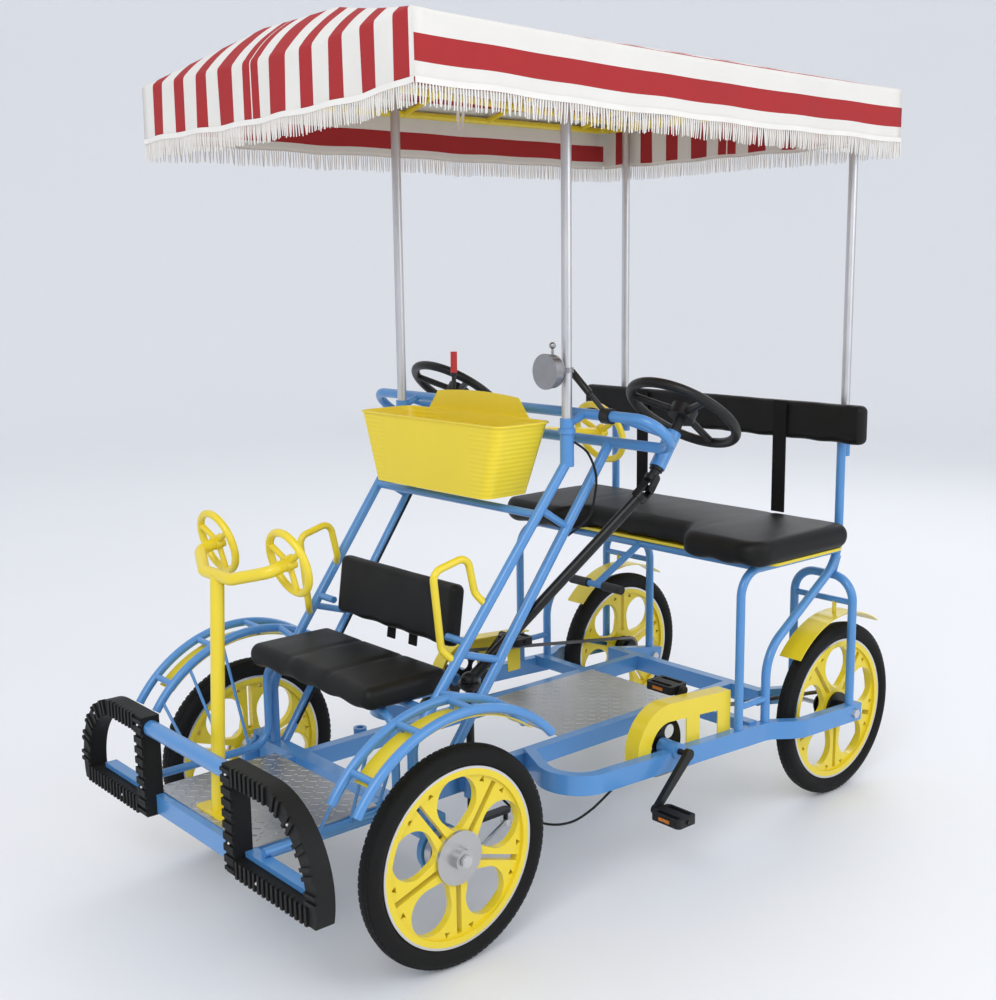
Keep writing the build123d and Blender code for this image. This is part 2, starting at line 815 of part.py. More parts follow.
# Rear fenders: short rolled strips under the ties of the wheel hoops
rear_fender_r = 288
rear_fender_w = 72
rear_fender_low_angle = 42
rear_fender_high_angle = 124
fender_tab_angle = 88
fender_tab_r = 6
fender_link_r = 4
fender_link_drop = 14
with BuildPart() as rear_fenders:
    wheel_y = track_rear / 2
    arch_strip(
        rear_x,
        rear_fender_r,
        fender_strip_t,
        wheel_y - rear_fender_w / 2,
        wheel_y + rear_fender_w / 2,
        rear_fender_low_angle,
        rear_fender_high_angle,
    )
    fender_tab = arch(rear_x, rear_fender_r + fender_strip_t, wheel_y, fender_tab_angle)
    rod(fender_tab, (fender_tab.X, fender_tab.Y, tie_z), fender_tab_r)
    rod(
        (fender_tab.X, fender_tab.Y, tie_z - fender_link_drop),
        (wheel_hoop_x, fender_tab.Y, tie_z - tie_r),
        fender_link_r,
    )
    mirror(about=Plane.XZ)
    add(bench_frames.part, mode=Mode.SUBTRACT)
finish(rear_fenders, "rear_fenders")

# Knuckles: forked brackets on the kingpins, each with a stub axle, a brake plate and a steering arm
stub_r = 10
ear_gap = 0.5
ear_r = 20
sleeve_clear = 4
web_thick = 10
web_y = kingpin_y + sleeve_r + sleeve_clear
kingpin_head = 22
cap_r = 14
cap_t = 10
brake_r = 56
brake_t = 6
hub_nose = 34
nut_r = 15
nut_t = 8
nut_clear = 1
stub_past = 10
arm_w = 26
rod_eye_t = 14
eye_gap = 2
pin_tail = 4
nut_y = track_front / 2 + hub_nose
web_face_y = web_y + web_thick
arm_low = sleeve_low - ear_gap - arm_t
arm_mid = arm_low + arm_t / 2
cap_low = sleeve_high + ear_gap + arm_t
tie_level = arm_low - eye_gap - rod_eye_t / 2
drag_level = tie_level - rod_eye_t - eye_gap
pin_low = drag_level - rod_eye_t / 2 - pin_tail
link_x = front_x - steer_arm
for side, label in ((1, "knuckle_left"), (-1, "knuckle_right")):
    pin_y = side * kingpin_y
    with BuildPart() as knuckle:
        rod((front_x, pin_y, arm_mid), (front_x, pin_y, sleeve_high + kingpin_head), kingpin_r)
        for z in (arm_low, sleeve_high + ear_gap):
            with BuildSketch(Plane.XY.offset(z)):
                with Locations((front_x, pin_y)):
                    Circle(ear_r)
                with Locations((front_x, side * (kingpin_y + web_face_y) / 2)):
                    Rectangle(2 * ear_r, web_face_y - kingpin_y)
            extrude(amount=arm_t)
        with BuildSketch(Plane.XY.offset(cap_low)):
            with Locations((front_x, pin_y)):
                Circle(cap_r)
        extrude(amount=cap_t)
        with BuildSketch(Plane.XY.offset(arm_low)):
            with Locations((front_x, side * (web_y + web_thick / 2))):
                Rectangle(2 * ear_r, web_thick)
        extrude(amount=cap_low - arm_low)
        rod((front_x, side * web_y, axle_z), (front_x, side * (nut_y + stub_past), axle_z), stub_r)
        rod((front_x, side * web_y, axle_z), (front_x, side * (web_face_y + brake_t), axle_z), brake_r)
        with BuildSketch(Plane(origin=(front_x, side * (nut_y + nut_clear), axle_z), z_dir=(0, side, 0))):
            RegularPolygon(nut_r, 6)
        extrude(amount=nut_t)
        with BuildSketch(Plane.XY.offset(arm_low)):
            with Locations(((front_x + link_x) / 2, pin_y)):
                SlotCenterToCenter(steer_arm, arm_w)
        extrude(amount=arm_t)
        rod((link_x, pin_y, pin_low), (link_x, pin_y, arm_mid), link_pin_r)
    finish(knuckle, label)

# Tie rod between the knuckles and drag link from the spindle, both with an eye on each pin
spindle_pin = Vector(spindle_x - steer_arm, spindle_y, 0)
left_pin = Vector(link_x, kingpin_y, 0)
right_pin = Vector(link_x, -kingpin_y, 0)
eye_r = 14
link_rod_r = 6.5
for label, level, ends in (
    ("tie_rod", tie_level, (left_pin, right_pin)),
    ("drag_link", drag_level, (spindle_pin, left_pin)),
):
    half_eye = Vector(0, 0, rod_eye_t / 2)
    centres = [end + Vector(0, 0, level) for end in ends]
    with BuildPart() as link:
        rod(*centres, link_rod_r)
        for centre in centres:
            rod(centre - half_eye, centre + half_eye, eye_r)
        for centre in centres:
            rod(centre - half_eye * 2, centre + half_eye * 2, link_pin_r + run_gap, Mode.SUBTRACT)
    finish(link, label)

# Steering spindle: pitman arm below, cup for the ball of the shaft above
cup = Vector(spindle_x, spindle_y, 561)
cup_gap = 0.4
cup_wall = 6
cup_span = 85
thrust_r = 16
thrust_t = 10
thrust_gap = 0.5
with BuildPart() as steering_spindle:
    with BuildSketch(Plane(origin=cup, x_dir=(1, 0, 0), z_dir=(0, -1, 0))):
        with BuildLine():
            inside = CenterArc((0, 0), joint_ball_r + cup_gap, 270, cup_span)
            outside = CenterArc((0, 0), joint_ball_r + cup_gap + cup_wall, 270, cup_span)
            Line(inside @ 0, outside @ 0)
            Line(inside @ 1, outside @ 1)
        make_face()
    revolve(axis=Axis(cup, (0, 0, 1)))
    rod((spindle_x, spindle_y, arm_mid), cup - Vector(0, 0, joint_ball_r + cup_wall / 2), spindle_r)
    thrust_low = rail_z + spindle_sleeve_half + thrust_gap
    rod((spindle_x, spindle_y, thrust_low), (spindle_x, spindle_y, thrust_low + thrust_t), thrust_r)
    with BuildSketch(Plane.XY.offset(arm_low)):
        with Locations((spindle_x - steer_arm / 2, spindle_y)):
            SlotCenterToCenter(steer_arm, arm_w)
    extrude(amount=arm_t)
    rod(spindle_pin + Vector(0, 0, pin_low), spindle_pin + Vector(0, 0, arm_mid), link_pin_r)
finish(steering_spindle, "steering_spindle")

# Steering shaft: ball below, fork and cross of the universal joint above
shaft_down = (cup - column_joint).normalized()
fork_gap = 24
ear_t = 6
fork_w = 20
fork_reach = 28
fork_root_r = 18
fork_root_near = 20
fork_root_far = 34
cross_arm_r = 4
cross_core_r = 8
cross_half = fork_gap / 2 + ear_t
column_pin = Vector(0, 1, 0)
shaft_pin = shaft_down.cross(column_pin).normalized()


def fork(centre, along, pin_dir):
    """Fork of the universal joint: a root and two ears across the pin, added to the open part."""
    for side in (1, -1):
        ear = centre + pin_dir * (side * (fork_gap + ear_t) / 2)
        with BuildSketch(Plane(origin=ear - pin_dir * (ear_t / 2), x_dir=along, z_dir=pin_dir)) as cheek:
            with Locations((fork_reach / 2, 0)):
                SlotCenterToCenter(fork_reach, fork_w)
        extrude(to_extrude=cheek.sketch, amount=ear_t)
    rod(centre + along * fork_root_near, centre + along * fork_root_far, fork_root_r)


with BuildPart() as steering_shaft:
    fork(column_joint, shaft_down, shaft_pin)
    rod(column_joint + shaft_down * fork_reach, cup, shaft_r)
    with BuildSketch(Plane(origin=cup, x_dir=(1, 0, 0), z_dir=(0, -1, 0))):
        with BuildLine():
            CenterArc((0, 0), joint_ball_r, -90, 180)
            Line((0, -joint_ball_r), (0, joint_ball_r))
        make_face()
    revolve(axis=Axis(cup, (0, 0, 1)))
    for pin in (shaft_pin, column_pin):
        rod(column_joint - pin * cross_half, column_joint + pin * cross_half, cross_arm_r)
    rod(column_joint - column_pin * cross_core_r, column_joint + column_pin * cross_core_r, cross_core_r)
finish(steering_shaft, "steering_shaft")

# Adult steering wheels on their columns; the left column ends in the upper fork
column_pin_gap = 1.6
column_collar_r = 17
column_collar_t = 7.5
column_collar_gap = 0.5
column_tail = 6
wheel_spoke_r = 9
wheel_boss_r = 34
wheel_boss_t = 30
for side, label in ((1, "steering_wheel_left"), (-1, "steering_wheel_right")):
    top = Vector(column_top.X, side * column_top.Y, column_top.Z)
    sleeve_end = Vector(sleeve_bottom.X, side * sleeve_bottom.Y, sleeve_bottom.Z)
    low_end = sleeve_end + column_down * column_collar_gap
    with BuildPart() as steering_wheel:
        spoked_wheel(
            top,
            column_down * -1,
            steering_wheel_r,
            steering_rim_r,
            wheel_spoke_r,
            wheel_boss_r,
            wheel_boss_t,
            90,
        )
        rod(top, low_end + column_down * column_tail, column_r)
        rod(low_end, low_end + column_down * column_collar_t, column_collar_r)
        if side == 1:
            fork(column_joint, column_down * -1, column_pin)
            rod(low_end, column_joint - column_down * fork_reach, column_r)
            rod(
                column_joint - column_pin * (2 * cross_half),
                column_joint + column_pin * (2 * cross_half),
                cross_arm_r + column_pin_gap,
                Mode.SUBTRACT,
            )
    finish(steering_wheel, label)

# Wheels: tyre, spoked rim and hub, one set for each corner
tyre_seat_half = rim_w / 2 - rim_flange
tyre_lip_r = rim_r + past
shoulder_r = tyre_r - tyre_crown
opening_r = 56
opening_centre_r = 130
opening_tail_r = 26
opening_tail_centre_r = 88
slot_w = 14
slot_inner_r = 58
slot_outer_r = 182
vent_r = 9
vent_centre_r = 177
vent_angle = 11.5
hub_disc_r = 62
hub_disc_t = 8
hub_nose_r = 24
rear_disc_r = 48
drum_clear = 4
drum_inner = 24
drum_outer = 46
front_barrel_r = 30
sprocket_t = 3
freewheel_r = 26
freewheel_past = 12
cassette_r = 34
cassette_gap = 7
corners = (
    # name, x, y, side, driven
    ("front_left", front_x, track_front / 2, 1, False),
    ("front_right", front_x, -track_front / 2, -1, False),
    ("rear_left", rear_x, track_rear / 2, 1, True),
    ("rear_right", rear_x, -track_rear / 2, -1, True),
)
with BuildSketch() as egg:
    with Locations((opening_centre_r, 0)):
        Circle(opening_r)
    with Locations((opening_tail_centre_r, 0)):
        Circle(opening_tail_r)
    make_hull()
for name, wheel_x, wheel_y, side, driven in corners:
    centre = Vector(wheel_x, wheel_y, axle_z)
    spin = Axis(centre, (0, 1, 0))
    section = Plane(origin=centre, x_dir=(0, side, 0), z_dir=(side, 0, 0))
    face = Plane(origin=centre, x_dir=(1, 0, 0), z_dir=(0, side, 0))
    half = tyre_seat_half
    with BuildPart() as tyre:
        with BuildSketch(section):
            with BuildLine():
                Polyline((-half, tyre_lip_r), (-half, rim_seat_r), (half, rim_seat_r), (half, tyre_lip_r))
                shoulder = (tyre_shoulder_w / 2, shoulder_r)
                far_shoulder = (-tyre_shoulder_w / 2, shoulder_r)
                ThreePointArc((half, tyre_lip_r), (tyre_w / 2, tyre_bulge_r), shoulder)
                ThreePointArc(shoulder, (0, tyre_r), far_shoulder)
                ThreePointArc(far_shoulder, (-tyre_w / 2, tyre_bulge_r), (-half, tyre_lip_r))
            make_face()
        revolve(axis=spin)
    finish(tyre, "tyre_" + name)
    with BuildPart() as rim:
        with BuildSketch(section):
            with BuildLine():
                edge = rim_w / 2
                Polyline(
                    (-edge, rim_inner_r),
                    (edge, rim_inner_r),
                    (edge, rim_r),
                    (half, rim_r),
                    (half, rim_seat_r),
                    (-half, rim_seat_r),
                    (-half, rim_r),
                    (-edge, rim_r),
                    close=True,
                )
            make_face()
        revolve(axis=spin)
        with BuildSketch(face.offset(-web_t / 2)):
            Circle(rim_inner_r + past)
            Circle(hub_r, mode=Mode.SUBTRACT)
            for spoke in range(spokes):
                turn = 90 + 360 / spokes * spoke
                between = turn + 180 / spokes
                with PolarLocations((slot_inner_r + slot_outer_r) / 2, 1, start_angle=turn):
                    Rectangle(slot_outer_r - slot_inner_r, slot_w, mode=Mode.SUBTRACT)
                for lean in (-vent_angle, vent_angle):
                    with PolarLocations(vent_centre_r, 1, start_angle=turn + lean):
                        RegularPolygon(vent_r, 3, mode=Mode.SUBTRACT)
                with Locations(Location((0, 0), between)):
                    add(egg.sketch, mode=Mode.SUBTRACT)
        extrude(amount=web_t)
    finish(rim, "rim_" + name)
    out = Vector(0, side, 0)
    web_face = centre + out * (web_t / 2)
    with BuildPart() as hub:
        rod(centre - out * (web_t / 2), web_face, hub_r)
        rod(web_face, web_face + out * hub_disc_t, rear_disc_r if driven else hub_disc_r)
        rod(web_face, centre + out * hub_nose, hub_nose_r)
        if driven:
            sprocket_at = Vector(wheel_x, side * chain_y, axle_z)
            bore_start = sprocket_at - out * freewheel_past
            rod(bore_start, centre, freewheel_r)
            rod(sprocket_at - out * (sprocket_t / 2), sprocket_at + out * (sprocket_t / 2), sprocket_r)
            rod(sprocket_at + out * cassette_gap, centre, cassette_r)
        else:
            bore_start = centre - out * drum_outer
            rod(bore_start, centre, front_barrel_r)
            rod(bore_start, centre - out * drum_inner, brake_r - drum_clear)
        bore_r = (rear_axle_r if driven else stub_r) + run_gap
        rod(bore_start - out * past, centre + out * (hub_nose + past), bore_r, Mode.SUBTRACT)
    finish(hub, "hub_" + name)

# Cranksets: spindle, two opposed arms with pedal pins, and a chainring beside the shell
arm_thick = 13
outer_arm_outset = 60
inner_arm_inset = 65
outer_arm_y = bb_y + outer_arm_outset
inner_arm_y = bb_y - inner_arm_inset
crank_root_r = 15
crank_tip_r = 12
crank_root_half = 13
crank_tip_half = 9
bb_axle_past = 6
pedal_pin_r = 6
pedal_gap = 5
pedal_pin_past = 4
pedal_corner_r = 12
pedal_window_x = 21
pedal_window_w = 14
pedal_window_trim = 24
pedal_window_r = 4
chainring_t = 3
chainring_holes = 5
chainring_hole_r = 19
chainring_hole_at = 46
crank_out = Vector(cos(radians(crank_angle)), 0, sin(radians(crank_angle))) * crank_length
crank_arms = (
    # place, y, reach of the arm, direction of its pedal pin
    ("outer", outer_arm_y, crank_out, 1),
    ("inner", inner_arm_y, crank_out * -1, -1),
)
for side, label in ((1, "left"), (-1, "right")):
    with BuildPart() as crankset:
        rod(
            (bb_x, side * (inner_arm_y - bb_axle_past), bb_z),
            (bb_x, side * (outer_arm_y + bb_axle_past), bb_z),
            bb_axle_r,
        )
        for place, arm_y, reach, out in crank_arms:
            hub_point = Vector(bb_x, side * arm_y, bb_z)
            eye = hub_point + reach
            arm_face = hub_point + Vector(0, side * arm_thick / 2, 0)
            with BuildSketch(Plane(origin=arm_face, x_dir=reach, z_dir=(0, -side, 0))):
                Circle(crank_root_r)
                with Locations((crank_length, 0)):
                    Circle(crank_tip_r)
                with BuildLine():
                    Polyline(
                        (0, crank_root_half),
                        (crank_length, crank_tip_half),
                        (crank_length, -crank_tip_half),
                        (0, -crank_root_half),
                        close=True,
                    )
                make_face()
            extrude(amount=arm_thick)
            pin_length = arm_thick / 2 + pedal_gap + pedal_w + pedal_pin_past
            rod(eye, eye + Vector(0, side * out * pin_length, 0), pedal_pin_r)
        ring_at = Vector(bb_x, side * (chain_y - chainring_t / 2), bb_z)
        with BuildSketch(Plane(origin=ring_at, x_dir=(1, 0, 0), z_dir=(0, side, 0))):
            Circle(chainring_r)
            with PolarLocations(chainring_hole_at, chainring_holes):
                Circle(chainring_hole_r, mode=Mode.SUBTRACT)
        extrude(amount=chainring_t)
    finish(crankset, "crankset_" + label)
    for place, arm_y, reach, out in crank_arms:
        outward = Vector(0, side * out, 0)
        near = Vector(bb_x, side * arm_y, bb_z) + reach + outward * (arm_thick / 2 + pedal_gap)
        far = near + outward * pedal_w
        middle = (near + far) * 0.5
        with BuildPart() as pedal:
            with BuildSketch(Plane.XY.offset(middle.Z - pedal_t / 2)):
                with Locations((middle.X, middle.Y)):
                    RectangleRounded(pedal_length, pedal_w, pedal_corner_r)
                    with Locations((-pedal_window_x, 0), (pedal_window_x, 0)):
                        RectangleRounded(
                            pedal_window_w,
                            pedal_w - pedal_window_trim,
                            pedal_window_r,
                            mode=Mode.SUBTRACT,
                        )
            extrude(amount=pedal_t)
            rod(near - outward * past, far + outward * past, pedal_pin_r + run_gap, Mode.SUBTRACT)
        finish(pedal, f"pedal_{label}_{place}")

# Chains: two bands of side plates around chainring and sprocket, held together by pins on the free runs
chain_h = 9
chain_gap = 6.4
chain_plate_t = 1.2
chain_pin_r = 2.5
chain_pin_shares = (0.25, 0.5, 0.75)
chain_half = chain_gap / 2 + chain_plate_t


def belt(grow):
    """Outline of a belt around chainring and sprocket, on the XZ plane."""
    with BuildSketch(Plane.XZ) as outline:
        with Locations((bb_x, bb_z)):
            Circle(chainring_r + grow)
        with Locations((rear_x, axle_z)):
            Circle(sprocket_r + grow)
        make_hull()
    return outline.sketch_local


with BuildPart() as chains:
    for y in (chain_y + chain_half, chain_y - chain_gap / 2):
        with BuildSketch(Plane.XZ.offset(-y)):
            add(belt(chain_h / 2))
            add(belt(-chain_h / 2), mode=Mode.SUBTRACT)
        extrude(amount=chain_plate_t)
    for run in (1, -1):
        for share in chain_pin_shares:
            x = bb_x + (rear_x - bb_x) * share
            z = bb_z + (axle_z - bb_z) * share + run * (chainring_r + (sprocket_r - chainring_r) * share)
            rod((x, chain_y - chain_half, z), (x, chain_y + chain_half, z), chain_pin_r)
    mirror(about=Plane.XZ)
finish(chains, "chains")

# Chain guards: folded sheet over each chainring, its front foot and two legs on the side rail
guard_sheet = 3
guard_face_y = side_rail_y - side_rail_w / 2
guard_depth = 46
guard_over_r = 118
guard_band = 48
guard_drop = 18
guard_leg_w = 52
guard_foot_z = bb_z - 20
guard_rear_x = fore(-972)
guard_legs = (fore(-820), guard_rear_x + guard_leg_w / 2)


def guard_band_face(inner_r):
    """Band of the chain guard between its outer edge and an inner radius, in the plane of its face."""
    with BuildSketch(Plane.XZ.offset(-guard_face_y)) as band:
        with BuildLine():
            for radius in (guard_over_r, inner_r):
                Line((bb_x + radius, guard_foot_z), (bb_x + radius, bb_z))
                CenterArc((bb_x, bb_z), radius, 0, 90)
                Line((bb_x, bb_z + radius), (guard_rear_x, bb_z + radius - guard_drop))
            Line((bb_x + guard_over_r, guard_foot_z), (bb_x + inner_r, guard_foot_z))
            rear_z = bb_z - guard_drop
            Line((guard_rear_x, rear_z + guard_over_r), (guard_rear_x, rear_z + inner_r))
        make_face()
    return band.sketch


with BuildPart() as chain_guards:
    extrude(to_extrude=guard_band_face(guard_over_r - guard_band), amount=guard_sheet)
    extrude(to_extrude=guard_band_face(guard_over_r - guard_sheet), amount=guard_depth)
    for x in guard_legs:
        leg_top = bb_z + guard_over_r - guard_band / 2 - guard_drop
        leg_low = side_rail_z(x)
        with BuildSketch(Plane.XZ.offset(-guard_face_y)):
            with Locations((x, (leg_top + leg_low) / 2)):
                Rectangle(guard_leg_w, leg_top - leg_low)
        extrude(amount=guard_sheet)
    mirror(about=Plane.XZ)
    add(chassis.part, mode=Mode.SUBTRACT)
finish(chain_guards, "chain_guards")

# Canopy: posts in their sockets, pipe frame, hip roof of cloth and its fringe
canopy_front = fore(150)
canopy_rear = fore(-1480)
ridge_front = fore(40)
ridge_rear = fore(-1370)
ridge_half = 150
frame_pipe_r = 10
ridge_pipe_r = 9
brace_r = 8
seat_gap = 0.3
frame_bend = 40
hip_inset = 12
frame_inset = canopy_t + seat_gap + frame_pipe_r
frame_z = canopy_fold - frame_inset
ridge_z = canopy_top - frame_inset
frame_half = canopy_half - frame_inset
frame_front = canopy_front - frame_inset
frame_rear = canopy_rear + frame_inset
frame_middle = (frame_front + frame_rear) / 2
rafters = (fore(-20), fore(-335), fore(-650), fore(-964), fore(-1360))
rafter_slope = (ridge_z - frame_z) / (frame_half - ridge_half)


def rail_over(x):
    """Point of the left roof rail, which lies on the posts and under the rafters."""
    y = post_front.Y + (post_front.X - x) * (post_rear.Y - post_front.Y) / (post_front.X - post_rear.X)
    return Vector(x, y, frame_z + (frame_half - y) * rafter_slope - brace_r - frame_pipe_r + past)


with BuildPart() as canopy_posts:
    for post, low in ((post_front, socket_high - post_depth), (post_rear, rear_socket_floor)):
        rod(post + Vector(0, 0, low), rail_over(post.X), post_r)
    mirror(about=Plane.XZ)
finish(canopy_posts, "canopy_posts")
with BuildPart() as canopy_frame:
    for end in (frame_front, frame_rear):
        pipe(
            [
                (frame_middle, frame_half, frame_z),
                (end, frame_half, frame_z),
                (end, 0, frame_z),
            ],
            frame_pipe_r,
            frame_bend,
        )
    rod(rail_over(rafters[0]), rail_over(post_rear.X), frame_pipe_r)
    rear_cross = rail_over(post_rear.X)
    rod(rear_cross, (rear_cross.X, 0, rear_cross.Z), ridge_pipe_r)
    ridge_ends = (ridge_front - hip_inset, ridge_rear + hip_inset)
    rod((ridge_ends[0], ridge_half, ridge_z), (ridge_ends[1], ridge_half, ridge_z), ridge_pipe_r)
    for x in rafters:
        rod((x, frame_half, frame_z), (x, ridge_half, ridge_z), brace_r)
    for x in (ridge_ends[0], *rafters[1:-1], ridge_ends[1]):
        rod((x, ridge_half, ridge_z), (x, 0, ridge_z), brace_r)
    for ridge_x, edge_x in zip(ridge_ends, (frame_front - hip_inset, frame_rear + hip_inset)):
        rod((ridge_x, ridge_half, ridge_z), (edge_x, frame_half - hip_inset, frame_z), brace_r)
    mirror(about=Plane.XZ)
    add(canopy_posts.part, mode=Mode.SUBTRACT)
finish(canopy_frame, "canopy_frame")
with BuildPart() as canopy_cloth:
    with BuildSketch(Plane(origin=((canopy_front + canopy_rear) / 2, 0, canopy_fold))) as edge_face:
        Rectangle(canopy_front - canopy_rear, 2 * canopy_half)
    extrude(amount=-canopy_t)
    for inset, drop, mode in ((0, 0, Mode.ADD), (canopy_t, canopy_t, Mode.SUBTRACT)):
        edge_plan = Plane(origin=((canopy_front + canopy_rear) / 2, 0, canopy_fold - drop))
        ridge_plan = Plane(origin=((ridge_front + ridge_rear) / 2, 0, canopy_top - drop))
        with BuildSketch(edge_plan) as edge_face:
            Rectangle(canopy_front - canopy_rear - 2 * inset, 2 * (canopy_half - inset))
        with BuildSketch(ridge_plan) as ridge_face:
            Rectangle(ridge_front - ridge_rear, 2 * ridge_half)
        loft(sections=[edge_face.sketch, ridge_face.sketch], mode=mode)
finish(canopy_cloth, "canopy_cloth")
for label, high, low in (
    ("canopy_valance", canopy_fold - canopy_t, canopy_hem),
    ("canopy_fringe", canopy_hem, canopy_hem - fringe_drop),
):
    with BuildPart() as skirt:
        with BuildSketch(Plane(origin=((canopy_front + canopy_rear) / 2, 0, high))):
            Rectangle(canopy_front - canopy_rear, 2 * canopy_half)
            offset(amount=-canopy_t, kind=Kind.INTERSECTION, mode=Mode.SUBTRACT)
        extrude(amount=low - high)
    finish(skirt, label)

# Bell ahead of the left front post: a drum with a rounded back on a clamp, and a ball lever on top
bell_r = 40
bell_depth = 40
bell_back_r = 18
bell_rim = 2
bell_rim_t = 5
bell_stand = 32
bell_z = 1297
bell_clamp_t = 12
bell_clamp_wall = 4
bell_stem_r = 7
bell_lever_r = 3
bell_ball_r = 8
bell_ball_rise = 60
bell_lever_at = 14
bell_back = post_front + Vector(bell_stand, 0, bell_z)
bell_lever = bell_back + Vector(bell_lever_at, 0, 0)
with BuildPart() as bell:
    clamp = post_front + Vector(0, 0, bell_z - bell_clamp_t / 2)
    rod(clamp, clamp + Vector(0, 0, bell_clamp_t), post_r + bell_clamp_wall)
    rod(post_front + Vector(0, 0, bell_z), bell_back + Vector(bell_depth / 2, 0, 0), bell_stem_r)
    with BuildSketch(Plane(origin=bell_back, x_dir=(1, 0, 0), z_dir=(0, -1, 0))):
        with BuildLine():
            back = CenterArc((bell_back_r, bell_r - bell_back_r), bell_back_r, 90, 90)
            rim_x = bell_depth - bell_rim_t
            Polyline(
                back @ 1,
                (0, 0),
                (bell_depth, 0),
                (bell_depth, bell_r + bell_rim),
                (rim_x, bell_r + bell_rim),
                (rim_x, bell_r),
                back @ 0,
            )
        make_face()
    revolve(axis=Axis(bell_back, (1, 0, 0)))
    rod(bell_lever, bell_lever + Vector(0, 0, bell_ball_rise), bell_lever_r)
    with Locations(bell_lever + Vector(0, 0, bell_ball_rise)):
        Sphere(bell_ball_r)
    add(canopy_posts.part, mode=Mode.SUBTRACT)
finish(bell, "bell")

# Levers on the upper dash tube: parking brake on the right, service brake on the left
parking_y = -175
service_y = 405
parking_foot = dash_upper + Vector(0, parking_y, 0)
parking_tip = Vector(fore(-522), parking_y, 1318)
service_foot = dash_upper + Vector(0, service_y, 0)
service_tip = Vector(fore(-505), 298, 1289)
grip_share = 0.5
grip_r = 9
lever_r = 6
lever_clamp_wall = 6
lever_clamp_half = 14
with BuildPart() as levers:
    for foot, tip in ((parking_foot, parking_tip), (service_foot, service_tip)):
        clamp_end = Vector(0, lever_clamp_half, 0)
        rod(foot - clamp_end, foot + clamp_end, dash_r + lever_clamp_wall)
        rod(foot, tip, lever_r)
        rod(foot + (tip - foot) * grip_share, tip, grip_r)
    add(dash_loop.part, mode=Mode.SUBTRACT)
finish(levers, "levers")

# Footrest on a drop tube below the bench, for the child between the adults
footrest_centre = Vector(fore(-889), 0, 643)
footrest_half = 100
footrest_stem_r = 10
footrest_bar_r = 9
footrest_grip_r = 13
footrest_grip_length = 70
with BuildPart() as footrest:
    rod((bench_cross_x, 0, bench_tube_z), footrest_centre, footrest_stem_r)
    tip = Vector(0, footrest_half, 0)
    rod(footrest_centre - tip, footrest_centre + tip, footrest_bar_r)
    for side in (1, -1):
        end = footrest_centre + tip * side
        rod(end - Vector(0, side * footrest_grip_length, 0), end, footrest_grip_r)
    add(bench_frames.part, mode=Mode.SUBTRACT)
finish(footrest, "footrest")

# Toy wheel for the child between the adults, on a stem from the lower dash tube
middle_hub = Vector(fore(-903), 0, 1081)
middle_tilt = 20
middle_facing = Vector(-cos(radians(middle_tilt)), 0, sin(radians(middle_tilt)))
middle_ring_r = 85
middle_spoke_r = 8
middle_boss_r = 20
middle_stem_r = 12
with BuildPart() as middle_toy:
    rod(dash_lower, middle_hub, middle_stem_r)
    spoked_wheel(
        middle_hub, middle_facing, middle_ring_r, toy_rim_r, middle_spoke_r, middle_boss_r, toy_boss_t, 90
    )
    add(dash_loop.part, mode=Mode.SUBTRACT)
finish(middle_toy, "middle_toy")

# Brake cables, clipped along the inner side of the rear tower tubes
cable_r = 3
cable_low = 0.07
cable_high = 0.93
with BuildPart() as cables:
    tower_run = tower_rear_top - tower_rear_foot
    beside = tower_rear_foot - Vector(0, tube_r + cable_r + seat_gap, 0)
    rod(beside + tower_run * cable_low, beside + tower_run * cable_high, cable_r)
    mirror(about=Plane.XZ)
finish(cables, "cables")
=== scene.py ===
import math
import random

import bmesh
import bpy
from mathutils import Matrix, Vector, noise as lumps


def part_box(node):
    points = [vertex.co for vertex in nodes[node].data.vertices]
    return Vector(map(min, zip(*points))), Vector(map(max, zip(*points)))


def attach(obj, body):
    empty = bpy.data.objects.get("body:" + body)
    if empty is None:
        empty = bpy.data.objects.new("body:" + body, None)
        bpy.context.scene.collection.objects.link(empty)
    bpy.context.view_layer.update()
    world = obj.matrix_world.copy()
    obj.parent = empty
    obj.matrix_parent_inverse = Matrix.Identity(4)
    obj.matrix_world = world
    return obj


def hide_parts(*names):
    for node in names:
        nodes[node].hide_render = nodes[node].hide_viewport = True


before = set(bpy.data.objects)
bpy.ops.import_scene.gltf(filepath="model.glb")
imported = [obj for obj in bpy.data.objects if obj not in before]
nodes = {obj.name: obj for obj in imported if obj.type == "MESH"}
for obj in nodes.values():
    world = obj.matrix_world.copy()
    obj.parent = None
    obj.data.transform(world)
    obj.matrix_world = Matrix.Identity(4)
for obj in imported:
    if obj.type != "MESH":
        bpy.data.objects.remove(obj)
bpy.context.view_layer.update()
rng = random.Random(7)

# Places shared with the part's source, in metres
FRONT_X = 0.635
REAR_X = -0.805
AXLE_Z = 0.255
TYRE_R = 0.255
FRONT_WHEEL_Y = 0.444
REAR_WHEEL_Y = 0.431

LEFT, RIGHT = 1, -1
SIDES = (LEFT, RIGHT)
ALONG_AXES = ((1, 0, 0), (0, 1, 0), (0, 0, 1))


def fore(distance):
    """X of a station given as its distance ahead of the front axle."""
    return FRONT_X + distance


def around(count):
    """Equal angles that fill a full turn."""
    return [2 * math.pi * k / count for k in range(count)]


def linked(name, data):
    """New object in the scene that shows the data."""
    made = bpy.data.objects.new(name, data)
    bpy.context.collection.objects.link(made)
    return made


# Materials

def new_material(name):
    material = bpy.data.materials.new(name)
    material.use_nodes = True
    tree = material.node_tree
    return material, tree, tree.nodes["Principled BSDF"]


def feed(tree, socket, value):
    """Link an input to another node's output, or set it to a plain value."""
    if isinstance(value, bpy.types.NodeSocket):
        tree.links.new(value, socket)
    else:
        socket.default_value = value


